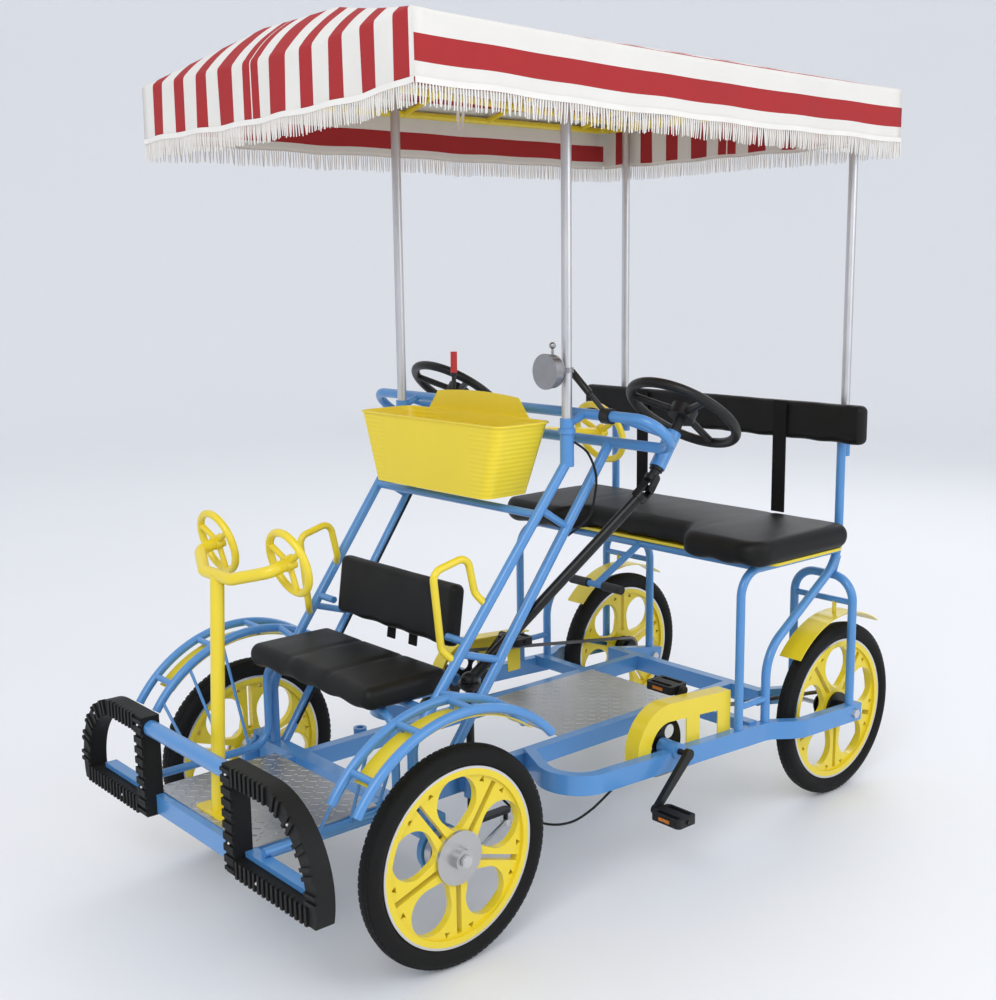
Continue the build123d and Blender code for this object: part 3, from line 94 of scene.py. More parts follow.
def dress(tree, node, inputs):
    """Feed several inputs of a node, given by name."""
    for key, value in inputs.items():
        feed(tree, node.inputs[key], value)


def add_node(tree, kind, inputs=None, **settings):
    node = tree.nodes.new(kind)
    for key, value in settings.items():
        setattr(node, key, value)
    dress(tree, node, inputs or {})
    return node


def noise(tree, scale, detail=3):
    """Value between 0 and 1 that drifts over the piece."""
    where = add_node(tree, "ShaderNodeTexCoord").outputs["Object"]
    inputs = {"Vector": where, "Scale": scale, "Detail": detail}
    return add_node(tree, "ShaderNodeTexNoise", inputs).outputs["Fac"]


def place_on(tree):
    """The place on the piece, as one output for each axis."""
    where = add_node(tree, "ShaderNodeTexCoord").outputs["Object"]
    return add_node(tree, "ShaderNodeSeparateXYZ", {"Vector": where}).outputs


def between(tree, value, low, high):
    """A value from 0 to 1 spread from low to high."""
    inputs = {"Value": value, "To Min": low, "To Max": high}
    return add_node(tree, "ShaderNodeMapRange", inputs).outputs["Result"]


def bumped(tree, height, strength, distance):
    """Surface direction tilted by a height."""
    inputs = {"Height": height, "Strength": strength, "Distance": distance}
    return add_node(tree, "ShaderNodeBump", inputs).outputs["Normal"]


def mixed(tree, factor, first, second):
    """Colour between two others."""
    mix = add_node(tree, "ShaderNodeMix", data_type="RGBA")
    for key, value in (("Factor", factor), ("A", first), ("B", second)):
        feed(tree, next(s for s in mix.inputs if s.name == key and s.enabled), value)
    return next(s for s in mix.outputs if s.enabled)


def maths(tree, operation, first, second=0.0, third=0.0):
    node = add_node(tree, "ShaderNodeMath", operation=operation)
    for index, value in enumerate((first, second, third)):
        feed(tree, node.inputs[index], value)
    return node.outputs[0]


def shade(colour, factor):
    return (colour[0] * factor, colour[1] * factor, colour[2] * factor, 1)


def drifting(tree, drift, colour, darkest, lightest):
    """Colour that changes with the drift between two factors of itself."""
    return mixed(tree, drift, shade(colour, darkest), shade(colour, lightest))


ROUGH_LOW, ROUGH_HIGH = 0.85, 1.15
COAT_ROUGH = 0.08
GRAIN_DEPTH, GRAIN_DETAIL = 0.001, 2


def finish_material(
    name, colour, rough, metal=0.0, spread=0.12, scale=6.0, bump=0.0, bump_scale=200.0, coat=0.0, shine=0.5
):
    """Colour and roughness that drift a little over the piece, with a fine grain where bump is given."""
    material, tree, shader = new_material(name)
    drift = noise(tree, scale)
    inputs = {
        "Base Color": drifting(tree, drift, colour, 1 - spread, 1 + spread),
        "Roughness": between(tree, drift, rough * ROUGH_LOW, min(1, rough * ROUGH_HIGH)),
        "Metallic": metal,
        "Coat Weight": coat,
        "Coat Roughness": COAT_ROUGH,
        "Specular IOR Level": shine,
    }
    if bump:
        inputs["Normal"] = bumped(tree, noise(tree, bump_scale, GRAIN_DETAIL), bump, GRAIN_DEPTH)
    dress(tree, shader, inputs)
    return material


SKY = (0.074, 0.255, 0.57)
LEMON = (0.80, 0.62, 0.020)
BLACK = (0.006, 0.006, 0.006)
SOFT_BLACK = (0.008, 0.008, 0.008)
SILVER = (0.62, 0.62, 0.63)
RED = (0.52, 0.02, 0.02)
BRASS = (0.62, 0.42, 0.14)

blue = finish_material("blue_paint", SKY, 0.32, spread=0.07, coat=0.35)
yellow = finish_material("yellow_paint", LEMON, 0.34, spread=0.06, coat=0.3)
black_metal = finish_material("black_metal", BLACK, 0.35, spread=0.25, shine=0.35)
black_plastic = finish_material(
    "black_plastic", SOFT_BLACK, 0.42, spread=0.2, bump=0.08, bump_scale=350, shine=0.35
)
vinyl = finish_material(
    "black_vinyl", (0.008, 0.0078, 0.0075), 0.46, spread=0.2, bump=0.2, bump_scale=420, shine=0.2
)
webbing = finish_material(
    "black_webbing", SOFT_BLACK, 0.75, spread=0.25, bump=0.5, bump_scale=600, shine=0.2
)
rubber = finish_material(
    "black_rubber", SOFT_BLACK, 0.6, spread=0.2, bump=0.15, bump_scale=150, shine=0.25
)
tyre_rubber = finish_material(
    "tyre_rubber", (0.007, 0.007, 0.007), 0.68, spread=0.2, bump=0.12, bump_scale=180, shine=0.2
)
steel = finish_material("bright_steel", SILVER, 0.40, metal=1.0, spread=0.08, scale=14)
aluminium = finish_material(
    "aluminium", (0.52, 0.52, 0.52), 0.36, metal=1.0, spread=0.1, scale=18, bump=0.05
)
chain_steel = finish_material(
    "chain_steel", (0.20, 0.19, 0.18), 0.42, metal=0.9, spread=0.25, scale=40
)
cotton = finish_material("white_fringe", (0.80, 0.78, 0.74), 0.85, spread=0.06, scale=20)
amber = finish_material("amber_reflector", (0.50, 0.15, 0.01), 0.25, spread=0.1, coat=0.5)
bell_grey = finish_material(
    "bell_grey", (0.34, 0.34, 0.35), 0.30, metal=1.0, spread=0.15, scale=30
)

BARE_RIM_R = 0.2025


def rim_material(name, centre_x):
    """Yellow wheel whose rim edge is bare bright metal."""
    material, tree, shader = new_material(name)
    place = place_on(tree)
    across = maths(tree, "SUBTRACT", place["X"], centre_x)
    above = maths(tree, "SUBTRACT", place["Z"], AXLE_Z)
    squared = maths(tree, "MULTIPLY_ADD", across, across, maths(tree, "MULTIPLY", above, above))
    bare = maths(tree, "GREATER_THAN", maths(tree, "SQRT", squared), BARE_RIM_R)
    drift = noise(tree, scale=9)
    paint = drifting(tree, drift, LEMON, 0.95, 1.05)
    metal = drifting(tree, drift, SILVER, 0.95, 1.15)
    inputs = {
        "Base Color": mixed(tree, bare, paint, metal),
        "Metallic": maths(tree, "MULTIPLY", bare, 0.9),
        "Roughness": between(tree, drift, 0.24, 0.34),
        "Coat Weight": 0.25,
    }
    dress(tree, shader, inputs)
    return material


BASKET_RIB_PITCH, BASKET_RIB_DEPTH = 0.011, 0.0008
BASKET_CORNER_Y = 0.170


def basket_material(name, colour):
    """Moulded plastic with fine level ribs around the corners."""
    material, tree, shader = new_material(name)
    place = place_on(tree)
    by_corner = maths(tree, "GREATER_THAN", maths(tree, "ABSOLUTE", place["Y"]), BASKET_CORNER_Y)
    wave = maths(tree, "SINE", maths(tree, "MULTIPLY", place["Z"], 2 * math.pi / BASKET_RIB_PITCH))
    drift = noise(tree, scale=6)
    inputs = {
        "Base Color": drifting(tree, drift, colour, 0.95, 1.05),
        "Roughness": between(tree, drift, 0.30, 0.40),
        "Normal": bumped(tree, maths(tree, "MULTIPLY", by_corner, wave), 0.35, BASKET_RIB_DEPTH),
    }
    dress(tree, shader, inputs)
    return material


def split_material(name, first, second, edge, metal=(0.0, 0.0), rough=0.34, right_only=False, above=None):
    """Second colour past an edge on both sides or the right only, and above a height where one is given."""
    material, tree, shader = new_material(name)
    place = place_on(tree)
    if right_only:
        past = maths(tree, "LESS_THAN", place["Y"], edge)
    else:
        past = maths(tree, "GREATER_THAN", maths(tree, "ABSOLUTE", place["Y"]), edge)
    if above is not None:
        past = maths(tree, "MULTIPLY", past, maths(tree, "GREATER_THAN", place["Z"], above))
    drift = noise(tree, scale=9)
    one = drifting(tree, drift, first, 0.92, 1.08)
    two = drifting(tree, drift, second, 0.88, 1.12)
    inputs = {
        "Base Color": mixed(tree, past, one, two),
        "Metallic": between(tree, past, *metal),
        "Roughness": between(tree, drift, rough * ROUGH_LOW, rough * ROUGH_HIGH),
    }
    dress(tree, shader, inputs)
    return material


yellow_plastic = basket_material("yellow_plastic", (0.86, 0.67, 0.03))
rim_front = rim_material("rim_front_paint", FRONT_X)
rim_rear = rim_material("rim_rear_paint", REAR_X)
knuckle_paint = split_material("knuckle_paint", SKY, SILVER, edge=0.400, metal=(0.0, 1.0))
lever_paint = split_material("lever_paint", BLACK, RED, edge=0.0, right_only=True, above=1.262)
footrest_paint = split_material("footrest_paint", SKY, BLACK, edge=0.0295, rough=0.45)
rod_steel = split_material("rod_steel", SILVER, BRASS, edge=0.318, metal=(1.0, 1.0), rough=0.3)

# One material for every CAD node
FINISHES = {
    blue: "chassis bumper_tube dash_loop towers child_seat_frame fender_guards bench_frames",
    knuckle_paint: "knuckle_left knuckle_right",
    footrest_paint: "footrest",
    yellow: (
        "front_fenders rear_fenders chain_guards toy_steering middle_toy grab_loops canopy_frame "
        "bench_pan"
    ),
    yellow_plastic: "basket",
    aluminium: "floor_plates hub_front_left hub_front_right",
    steel: "rear_axles canopy_posts",
    rod_steel: "tie_rod drag_link",
    bell_grey: "bell",
    lever_paint: "levers",
    rubber: "bumper_pads cables",
    webbing: "seat_straps",
    black_metal: (
        "steering_spindle steering_shaft hub_rear_left hub_rear_right crankset_left crankset_right"
    ),
    black_plastic: (
        "steering_wheel_left steering_wheel_right pedal_left_outer pedal_left_inner "
        "pedal_right_outer pedal_right_inner"
    ),
    chain_steel: "chains",
    rim_front: "rim_front_left rim_front_right",
    rim_rear: "rim_rear_left rim_rear_right",
    tyre_rubber: "tyre_front_left tyre_front_right tyre_rear_left tyre_rear_right",
    vinyl: "bench_cushion bench_backrest child_cushion child_backrest",
    cotton: "canopy_cloth canopy_valance canopy_fringe",
}
for material, names in FINISHES.items():
    for name in names.split():
        nodes[name].data.materials.clear()
        nodes[name].data.materials.append(material)

# Corners of a block are counted with its third direction changing fastest
BOX_FACES = ((0, 1, 3, 2), (4, 6, 7, 5), (0, 4, 5, 1), (2, 3, 7, 6), (0, 2, 6, 4), (1, 5, 7, 3))


class Pile:
    """Vertices and faces of many like pieces, gathered into one mesh."""

    def __init__(self):
        self.verts = []
        self.faces = []

    def add(self, verts, faces):
        start = len(self.verts)
        self.verts += [Vector(v) for v in verts]
        self.faces += [tuple(start + i for i in face) for face in faces]

    def grid(self, rows, close_columns=False):
        """Quads between rows of points."""
        width = len(rows[0])
        faces = []
        for r in range(len(rows) - 1):
            near, far = r * width, (r + 1) * width
            for c in range(width if close_columns else width - 1):
                c2 = (c + 1) % width
                faces.append((near + c, near + c2, far + c2, far + c))
        self.add([p for row in rows for p in row], faces)

    def tube(self, points, radius, sides):
        """Round tube along points, its radius one number or one for each point."""
        points = [Vector(p) for p in points]
        last = len(points) - 1
        rows = []
        side = None
        for i, point in enumerate(points):
            along = (points[min(i + 1, last)] - points[max(i - 1, 0)]).normalized()
            if side is None:
                side = along.orthogonal().normalized()
            side = (side - along * side.dot(along)).normalized()
            up = along.cross(side)
            r = radius[i] if hasattr(radius, "__len__") else radius
            rows.append([point + (side * math.cos(t) + up * math.sin(t)) * r for t in around(sides)])
        self.grid(rows, close_columns=True)
        start = len(self.verts) - sides * len(rows)
        self.faces.append(tuple(start + k for k in reversed(range(sides))))
        self.faces.append(tuple(start + sides * last + k for k in range(sides)))

    def dome(self, centre, normal, radius, height, sides=10, steps=3):
        """Round head of a rivet, its foot at the centre."""
        centre = Vector(centre)
        normal = Vector(normal).normalized()
        side = normal.orthogonal().normalized()
        up = normal.cross(side)
        rows = []
        for s in range(steps):
            a = math.pi / 2 * s / steps
            spokes = [(side * math.cos(t) + up * math.sin(t)) * radius for t in around(sides)]
            rows.append([centre + spoke * math.cos(a) + normal * height * math.sin(a) for spoke in spokes])
        self.grid(rows, close_columns=True)
        tip = len(self.verts)
        start = tip - sides
        self.verts.append(centre + normal * height)
        self.faces += [(start + k, start + (k + 1) % sides, tip) for k in range(sides)]

    def box(self, centre, axes, sizes):
        """Block with its three directions and full sizes given."""
        first, second, third = (Vector(axis) * size for axis, size in zip(axes, sizes))
        halves = (-0.5, 0.5)
        corners = []
        for i in halves:
            for j in halves:
                for k in halves:
                    corners.append(Vector(centre) + first * i + second * j + third * k)
        self.add(corners, BOX_FACES)

    def object(self, name, material, body="frame", smooth=False):
        """Mesh object with its faces turned outward, carried by a body."""
        data = bpy.data.meshes.new(name)
        data.from_pydata([tuple(v) for v in self.verts], [], self.faces)
        shell = bmesh.new()
        shell.from_mesh(data)
        bmesh.ops.recalc_face_normals(shell, faces=shell.faces)
        shell.to_mesh(data)
        shell.free()
        data.update()
        for polygon in data.polygons:
            polygon.use_smooth = smooth
        data.materials.append(material)
        made = linked(name, data)
        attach(made, body)
        return made


# Cushions: soft blocks made of sections across the vehicle

ARC_STEPS, FLAT_STEPS = 12, 10
LEAST_ROUND, ROUND_SPARE = 0.002, 0.001
END_DROP = 0.8
PULL_IN = 0.006
SEAM_WIDTH = 0.006
SWELL_REACH = 0.08
TUCK, TUCK_PITCH, TUCK_HIGH = 0.005, 0.105, 0.6
DENT, DENT_SCALE, DENT_REACH = 0.0022, 14, 0.05
CROWN_ROOM = 0.004


def rounded_off(radius, reach):
    """How far a round corner lies inside a square one, at a distance from its end."""
    return radius - math.sqrt(max(0, radius**2 - max(0, radius - reach) ** 2))


def section(x0, x1, z0, z1, r):
    """Points around a rectangle with round corners."""
    centres = ((x1 - r, z1 - r), (x0 + r, z1 - r), (x0 + r, z0 + r), (x1 - r, z0 + r))
    loop = []
    for index, (cx, cz) in enumerate(centres):
        for k in range(ARC_STEPS + 1):
            a = math.radians(90 * index + 90 * k / ARC_STEPS)
            loop.append((cx + r * math.cos(a), cz + r * math.sin(a)))
        after = (index + 1) % len(centres)
        a = math.radians(90 * after)
        ax, az = loop[-1]
        bx = centres[after][0] + r * math.cos(a)
        bz = centres[after][1] + r * math.sin(a)
        for k in range(1, FLAT_STEPS):
            loop.append((ax + (bx - ax) * k / FLAT_STEPS, az + (bz - az) * k / FLAT_STEPS))
    return loop


def pillow(
    name, node, half, back, front, low, high, corner, crown, seams=(), place=None, steps=90, plan=None
):
    """Stuffed block. front may change with y, seams are the place and depth of each sewn line, and plan is
    the radius of the front corners seen from above where it isn't that of the other edges."""
    rows = []
    for i in range(steps + 1):
        y = -half * math.cos(math.pi * i / steps)
        reach = half - abs(y)
        inset = rounded_off(corner, reach)
        sweep = rounded_off(plan or corner, reach)
        lead = front(y) if callable(front) else front
        drawn_in = PULL_IN * max(0, 1 - (y / half) ** 2)
        x0 = back + inset + drawn_in / 2
        x1 = lead - max(inset, sweep) - drawn_in
        z0 = low + inset * END_DROP
        z1 = high - inset * END_DROP
        r = max(LEAST_ROUND, min(corner, (x1 - x0) / 2 - ROUND_SPARE, (z1 - z0) / 2 - ROUND_SPARE))
        pull = sum(depth * math.exp(-(((y - at) / SEAM_WIDTH) ** 2)) for at, depth in seams)
        row = []
        for x, z in section(x0, x1, z0, z1, r):
            share = (x - x0) / max(1e-6, x1 - x0)
            rise = (z - z0) / max(1e-6, z1 - z0)
            upper = max(0, rise - 0.5) * 2
            swell = crown * max(0, 4 * share * (1 - share)) * min(1, reach / SWELL_REACH) * upper
            tuck = TUCK * math.sin(2 * math.pi * y / TUCK_PITCH) * share**2 * max(0, TUCK_HIGH - rise)
            soft = Vector((x, y, z + swell + tuck - pull * upper))
            dent = DENT * lumps.noise(soft * DENT_SCALE) * min(1, reach / DENT_REACH)
            row.append(soft + Vector((dent, 0, 0.5 * dent)))
        rows.append(row)
    pile = Pile()
    pile.grid(rows, close_columns=True)
    width = len(rows[0])
    pile.faces.append(tuple(range(width)))
    pile.faces.append(tuple(steps * width + k for k in reversed(range(width))))
    if place is not None:
        pile.verts = [place @ v for v in pile.verts]
    made = pile.object(name, vinyl, smooth=True)
    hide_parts(node)
    return made


LOBE_START, LOBE_EASE, LOBE_DEPTH = 0.190, 0.075, 0.088
BENCH_MIDDLE_X = fore(-1.050)


def bench_front(y):
    """Front edge of the bench cushion: a lobe before each adult and a shallow middle."""
    share = min(1, max(0, (abs(y) - LOBE_START) / LOBE_EASE))
    ease = share * share * (3 - 2 * share)
    return BENCH_MIDDLE_X + LOBE_DEPTH * ease


bench_low, bench_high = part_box("bench_cushion")
pillow(
    "bench_cushion_soft",
    "bench_cushion",
    half=0.510,
    back=bench_low.x,
    front=bench_front,
    low=bench_low.z,
    high=bench_high.z - CROWN_ROOM,
    corner=0.030,
    crown=0.006,
    seams=((-0.25, 0.004), (0.25, 0.004)),
    plan=0.070,
)
rest_low, rest_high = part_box("bench_backrest")
pillow(
    "bench_backrest_soft",
    "bench_backrest",
    half=0.537,
    back=rest_low.x,
    front=rest_high.x,
    low=rest_low.z,
    high=rest_high.z,
    corner=0.017,
    crown=0.0,
)
seat_low, seat_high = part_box("child_cushion")
pillow(
    "child_cushion_soft",
    "child_cushion",
    half=0.262,
    back=seat_low.x,
    front=seat_high.x,
    low=seat_low.z,
    high=seat_high.z - CROWN_ROOM,
    corner=0.024,
    crown=0.004,
    seams=((-0.085, 0.005), (0.085, 0.005)),
    steps=70,
)
CHILD_LEAN = math.radians(8)
CHILD_FOOT = (fore(-0.176), 0, 0.652)
pillow(
    "child_backrest_soft",
    "child_backrest",
    half=0.237,
    back=-0.021,
    front=0.021,
    low=0.0,
    high=0.150,
    corner=0.016,
    crown=0.0,
    place=Matrix.Translation(CHILD_FOOT) @ Matrix.Rotation(-CHILD_LEAN, 4, "Y"),
    steps=70,
)

# Canopy: one stretched cloth with hip roof and valance, and a fringe along its hem
CANOPY_FRONT, CANOPY_REAR, CANOPY_HALF = fore(0.150), fore(-1.480), 0.555
RIDGE_FRONT, RIDGE_REAR, RIDGE_HALF = fore(0.040), fore(-1.370), 0.150
CANOPY_ENDS = (CANOPY_FRONT, CANOPY_REAR)
RIDGE_ENDS = (RIDGE_FRONT, RIDGE_REAR)
HEM_Z, FOLD_Z, TOP_Z, FRINGE = 1.865, 1.990, 2.085, 0.055
RAIL_LOW = 2.021
STRIPE_PITCH, STRIPE_RED, STRIPE_START = 0.112, 0.050, 0.6375
SPARE_PITCHES = 20
JOINT, JOINT_HALF = -0.0345, 0.0022
JOINT_REACH, JOINT_WIDER = 0.15, 0.008
RIGHT_SHIFT, RIGHT_DEPTH = 0.0545, 0.015
CRIMSON = ((0.34, 0.014, 0.017, 1), (0.41, 0.019, 0.022, 1))
CHALK = ((0.70, 0.68, 0.64, 1), (0.78, 0.76, 0.72, 1))
LIFT = 0.025
HEM_WAVE, HEM_RISE, HEM_EDGE = 0.004, 0.6, 0.001
HEM_WAVES = ((19, 23), (7, -11))
RIPPLE, RIPPLE_X, RIPPLE_Y = 0.002, 19, 11
FOLD_ROUND, FOLD_TAPER, FOLD_LEAST = 0.011, 0.03, 0.0001
ROOF_ROWS, FOLD_ROWS, VALANCE_ROWS = 14, 5, 6
TOP_ROWS, TOP_COLUMNS = 16, 40
SIDE_COLUMNS, SIDE_CROWN = 64, 0.007
END_COLUMNS, END_CROWN = 48, 0.006
WELD = 0.0004
SLOPE = math.hypot(CANOPY_HALF - RIDGE_HALF, TOP_Z - FOLD_Z)


def cross_run(y):
    """Distance over the cloth from its middle line to a point of the roof at y, with the sign of y."""
    past_ridge = max(0, abs(y) - RIDGE_HALF)
    return math.copysign(abs(y) + past_ridge * (SLOPE / (CANOPY_HALF - RIDGE_HALF) - 1), y)


def over_end(point):
    """Run across the cloth on the top and the two ends."""
    return cross_run(point.y)


def over_side(point):
    """Run across the cloth on a side, which goes on down the valance."""
    return math.copysign(abs(cross_run(point.y)) + max(0, FOLD_Z - point.z), point.y)


def hang(point):
    """Cloth as it hangs: pulled up at the left front corner, with a hem that waves a little."""
    ahead = max(0, (point.x - CANOPY_REAR) / (CANOPY_FRONT - CANOPY_REAR))
    leftward = max(0, point.y / CANOPY_HALF)
    rise = LIFT * ahead**2 * leftward**2
    wave = HEM_WAVE * max(0, min(1, (FOLD_Z - point.z) / (FOLD_Z - HEM_Z)))
    for by_x, by_y in HEM_WAVES:
        wave *= math.sin(by_x * point.x + by_y * point.y)
    on_side = abs(point.y) > CANOPY_HALF - HEM_EDGE
    push = Vector((0, math.copysign(wave, point.y), 0)) if on_side else Vector((wave, 0, 0))
    return point + push + Vector((0, 0, rise + HEM_RISE * wave))


cloth = Pile()
stripe = []


def cloth_panel(tops, folds, hems, across, crown, run):
    """Panel from the ridge over a rounded fold to the hem, each line given by its two ends."""
    normal = (tops[1] - tops[0]).cross(folds[0] - tops[0]).normalized()
    if normal.z < 0:
        normal = -normal
    columns = []
    for j in range(across + 1):
        u = j / across
        top, bend, low = (ends[0].lerp(ends[1], u) for ends in (tops, folds, hems))
        round_off = max(FOLD_LEAST, FOLD_ROUND * min(1, u / FOLD_TAPER, (1 - u) / FOLD_TAPER))
        upper = bend + (top - bend).normalized() * round_off
        lower = bend + (low - bend).normalized() * round_off
        column = []
        for i in range(ROOF_ROWS + 1):
            v = i / ROOF_ROWS
            point = top.lerp(upper, v)
            swell = (4 * u * (1 - u)) * (4 * v * (1 - v))
            ripple = RIPPLE * abs(math.sin(RIPPLE_X * point.x + RIPPLE_Y * point.y)) * swell
            column.append(point + normal * (crown * swell + ripple))
        for i in range(1, FOLD_ROWS):
            w = i / FOLD_ROWS
            column.append(upper * (1 - w) ** 2 + bend * (2 * w * (1 - w)) + lower * w**2)
        column += [lower.lerp(low, i / VALANCE_ROWS) for i in range(VALANCE_ROWS + 1)]
        columns.append(column)
    cloth.grid([[hang(point) for point in column] for column in columns])
    stripe.extend(run(point) for column in columns for point in column)


def cloth_corners(stations, half, z):
    """The four corners of one line around the cloth, by station and side."""
    return {(x, s): Vector((x, s * half, z)) for x in stations for s in SIDES}


ridge = cloth_corners(RIDGE_ENDS, RIDGE_HALF, TOP_Z)
fold = cloth_corners(CANOPY_ENDS, CANOPY_HALF, FOLD_Z)
hem = cloth_corners(CANOPY_ENDS, CANOPY_HALF, HEM_Z)

top_rows = []
for i in range(TOP_ROWS + 1):
    share = i / TOP_ROWS
    ahead = ridge[RIDGE_FRONT, LEFT].lerp(ridge[RIDGE_FRONT, RIGHT], share)
    behind = ridge[RIDGE_REAR, LEFT].lerp(ridge[RIDGE_REAR, RIGHT], share)
    points = [ahead.lerp(behind, j / TOP_COLUMNS) for j in range(TOP_COLUMNS + 1)]
    top_rows.append([hang(point) for point in points])
    stripe += [over_end(point) for point in points]
cloth.grid(top_rows)
for s in SIDES:
    tops = [ridge[x, s] for x in RIDGE_ENDS]
    folds = [fold[x, s] for x in CANOPY_ENDS]
    hems = [hem[x, s] for x in CANOPY_ENDS]
    cloth_panel(tops, folds, hems, SIDE_COLUMNS, SIDE_CROWN, over_side)
for ridge_x, edge_x in zip(RIDGE_ENDS, CANOPY_ENDS):
    tops = [ridge[ridge_x, s] for s in SIDES]
    folds = [fold[edge_x, s] for s in SIDES]
    hems = [hem[edge_x, s] for s in SIDES]
    cloth_panel(tops, folds, hems, END_COLUMNS, END_CROWN, over_end)


def stripe_material():
    """Red and white stripes by the distance over the cloth, wider by the sewn joint, with a weave."""
    material, tree, shader = new_material("canopy_stripes")
    run = add_node(tree, "ShaderNodeAttribute", attribute_name="stripe").outputs["Fac"]
    # Whole pitches are added so that the run is never negative
    first = SPARE_PITCHES * STRIPE_PITCH - STRIPE_START + STRIPE_PITCH / 2
    phase = maths(tree, "FRACT", maths(tree, "DIVIDE", maths(tree, "ADD", run, first), STRIPE_PITCH))
    from_red = maths(tree, "ABSOLUTE", maths(tree, "SUBTRACT", phase, 0.5))
    from_joint = maths(tree, "ABSOLUTE", maths(tree, "SUBTRACT", run, JOINT))
    by_joint = maths(tree, "LESS_THAN", from_joint, JOINT_REACH)
    plain_half = STRIPE_RED / STRIPE_PITCH / 2
    half_red = maths(tree, "MULTIPLY_ADD", by_joint, JOINT_WIDER / STRIPE_PITCH, plain_half)
    red = maths(tree, "LESS_THAN", from_red, half_red)
    red = maths(tree, "MULTIPLY", red, maths(tree, "GREATER_THAN", from_joint, JOINT_HALF))
    drift = noise(tree, scale=7)
    crimson = mixed(tree, drift, *CRIMSON)
    chalk = mixed(tree, drift, *CHALK)
    inputs = {
        "Base Color": mixed(tree, red, chalk, crimson),
        "Roughness": between(tree, drift, 0.75, 0.9),
        "Normal": bumped(tree, noise(tree, scale=900, detail=1), 0.15, 0.0005),
    }
    dress(tree, shader, inputs)
    return material


sewn = bmesh.new()
run_layer = sewn.loops.layers.float.new("stripe")
points = [sewn.verts.new(v) for v in cloth.verts]
for indices in cloth.faces:
    made_face = sewn.faces.new([points[i] for i in indices])
    made_face.smooth = True
    far_right = max(v.co.y for v in made_face.verts) < RIGHT_DEPTH - CANOPY_HALF
    on_right = far_right and made_face.calc_center_median().z < FOLD_Z - FOLD_ROUND
    for loop, i in zip(made_face.loops, indices):
        loop[run_layer] = stripe[i] - RIGHT_SHIFT * on_right
bmesh.ops.remove_doubles(sewn, verts=sewn.verts, dist=WELD)
bmesh.ops.recalc_face_normals(sewn, faces=sewn.faces)
canopy_data = bpy.data.meshes.new("canopy_cloth_soft")
sewn.to_mesh(canopy_data)
sewn.free()
canopy_data.materials.append(stripe_material())
canopy = linked("canopy_cloth_soft", canopy_data)
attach(canopy, "frame")
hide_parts("canopy_cloth", "canopy_valance")

# Fringe: tassels of yarn that hang from a braid
BRAID_STEPS, BRAID_OUT, BRAID_EDGES = 80, 0.0018, (0.002, -0.010)
TASSEL_PITCH, TASSEL_TOP, TASSEL_SPARE = 0.0075, 0.008, 0.009
TASSEL_LEAST, TASSEL_SPREAD = 0.86, 0.14
SWAY_ALONG, SWAY_OUT = 0.007, 0.004
KNEE_AT, KNEE_OUT = 0.45, 0.0006
YARN_R, YARN_SIDES = (0.0017, 0.0019, 0.0011), 4
fringe = Pile()


def fringe_run(start, end, outward):
    """Braid and tassels along one edge of the hem."""
    length = (end - start).length
    along = (end - start).normalized()
    braid = [hang(start.lerp(end, k / BRAID_STEPS)) for k in range(BRAID_STEPS + 1)]
    fringe.grid([[p + outward * BRAID_OUT + Vector((0, 0, z)) for p in braid] for z in BRAID_EDGES])
    count = int(length / TASSEL_PITCH)
    for i in range(count):
        top = hang(start.lerp(end, (i + 0.5) / count)) - Vector((0, 0, TASSEL_TOP))
        drop = (FRINGE - TASSEL_SPARE) * (TASSEL_LEAST + TASSEL_SPREAD * rng.random())
        sway = along * (SWAY_ALONG * (rng.random() - 0.5))
        sway = sway + outward * (SWAY_OUT * (rng.random() - 0.5))
        tip = top - Vector((0, 0, drop)) + sway
        knee = top.lerp(tip, KNEE_AT) + outward * KNEE_OUT
        fringe.tube([top, knee, tip], YARN_R, YARN_SIDES)


for s in SIDES:
    fringe_run(hem[CANOPY_FRONT, s], hem[CANOPY_REAR, s], Vector((0, s, 0)))
for edge_x, out in ((CANOPY_FRONT, 1), (CANOPY_REAR, -1)):
    fringe_run(hem[edge_x, LEFT], hem[edge_x, RIGHT], Vector((out, 0, 0)))
fringe_piece = fringe.object("canopy_fringe_soft", cotton)
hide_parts("canopy_fringe")

# Loose tie tapes below the right roof rail
TAPE_Y, TAPE_HALF, TAPE_STEPS, TAPE_WAVE = -0.325, 0.0055, 6, 0.004
TAPES = (
    # station, drop, slant
    (fore(-0.291), 0.094, 0.006),
    (fore(-0.668), 0.106, -0.012),
    (fore(-0.700), 0.098, 0.009),
)
tapes = Pile()
for x, drop, slant in TAPES:
    strip = []
    for k in range(TAPE_STEPS + 1):
        fall = Vector((slant * k / TAPE_STEPS, TAPE_WAVE * math.sin(k), -drop * k / TAPE_STEPS))
        strip.append(Vector((x, TAPE_Y, RAIL_LOW)) + fall)
    tapes.grid([[p + Vector((half, 0, 0)) for p in strip] for half in (-TAPE_HALF, TAPE_HALF)])
tape_piece = tapes.object("canopy_tapes_soft", cotton)

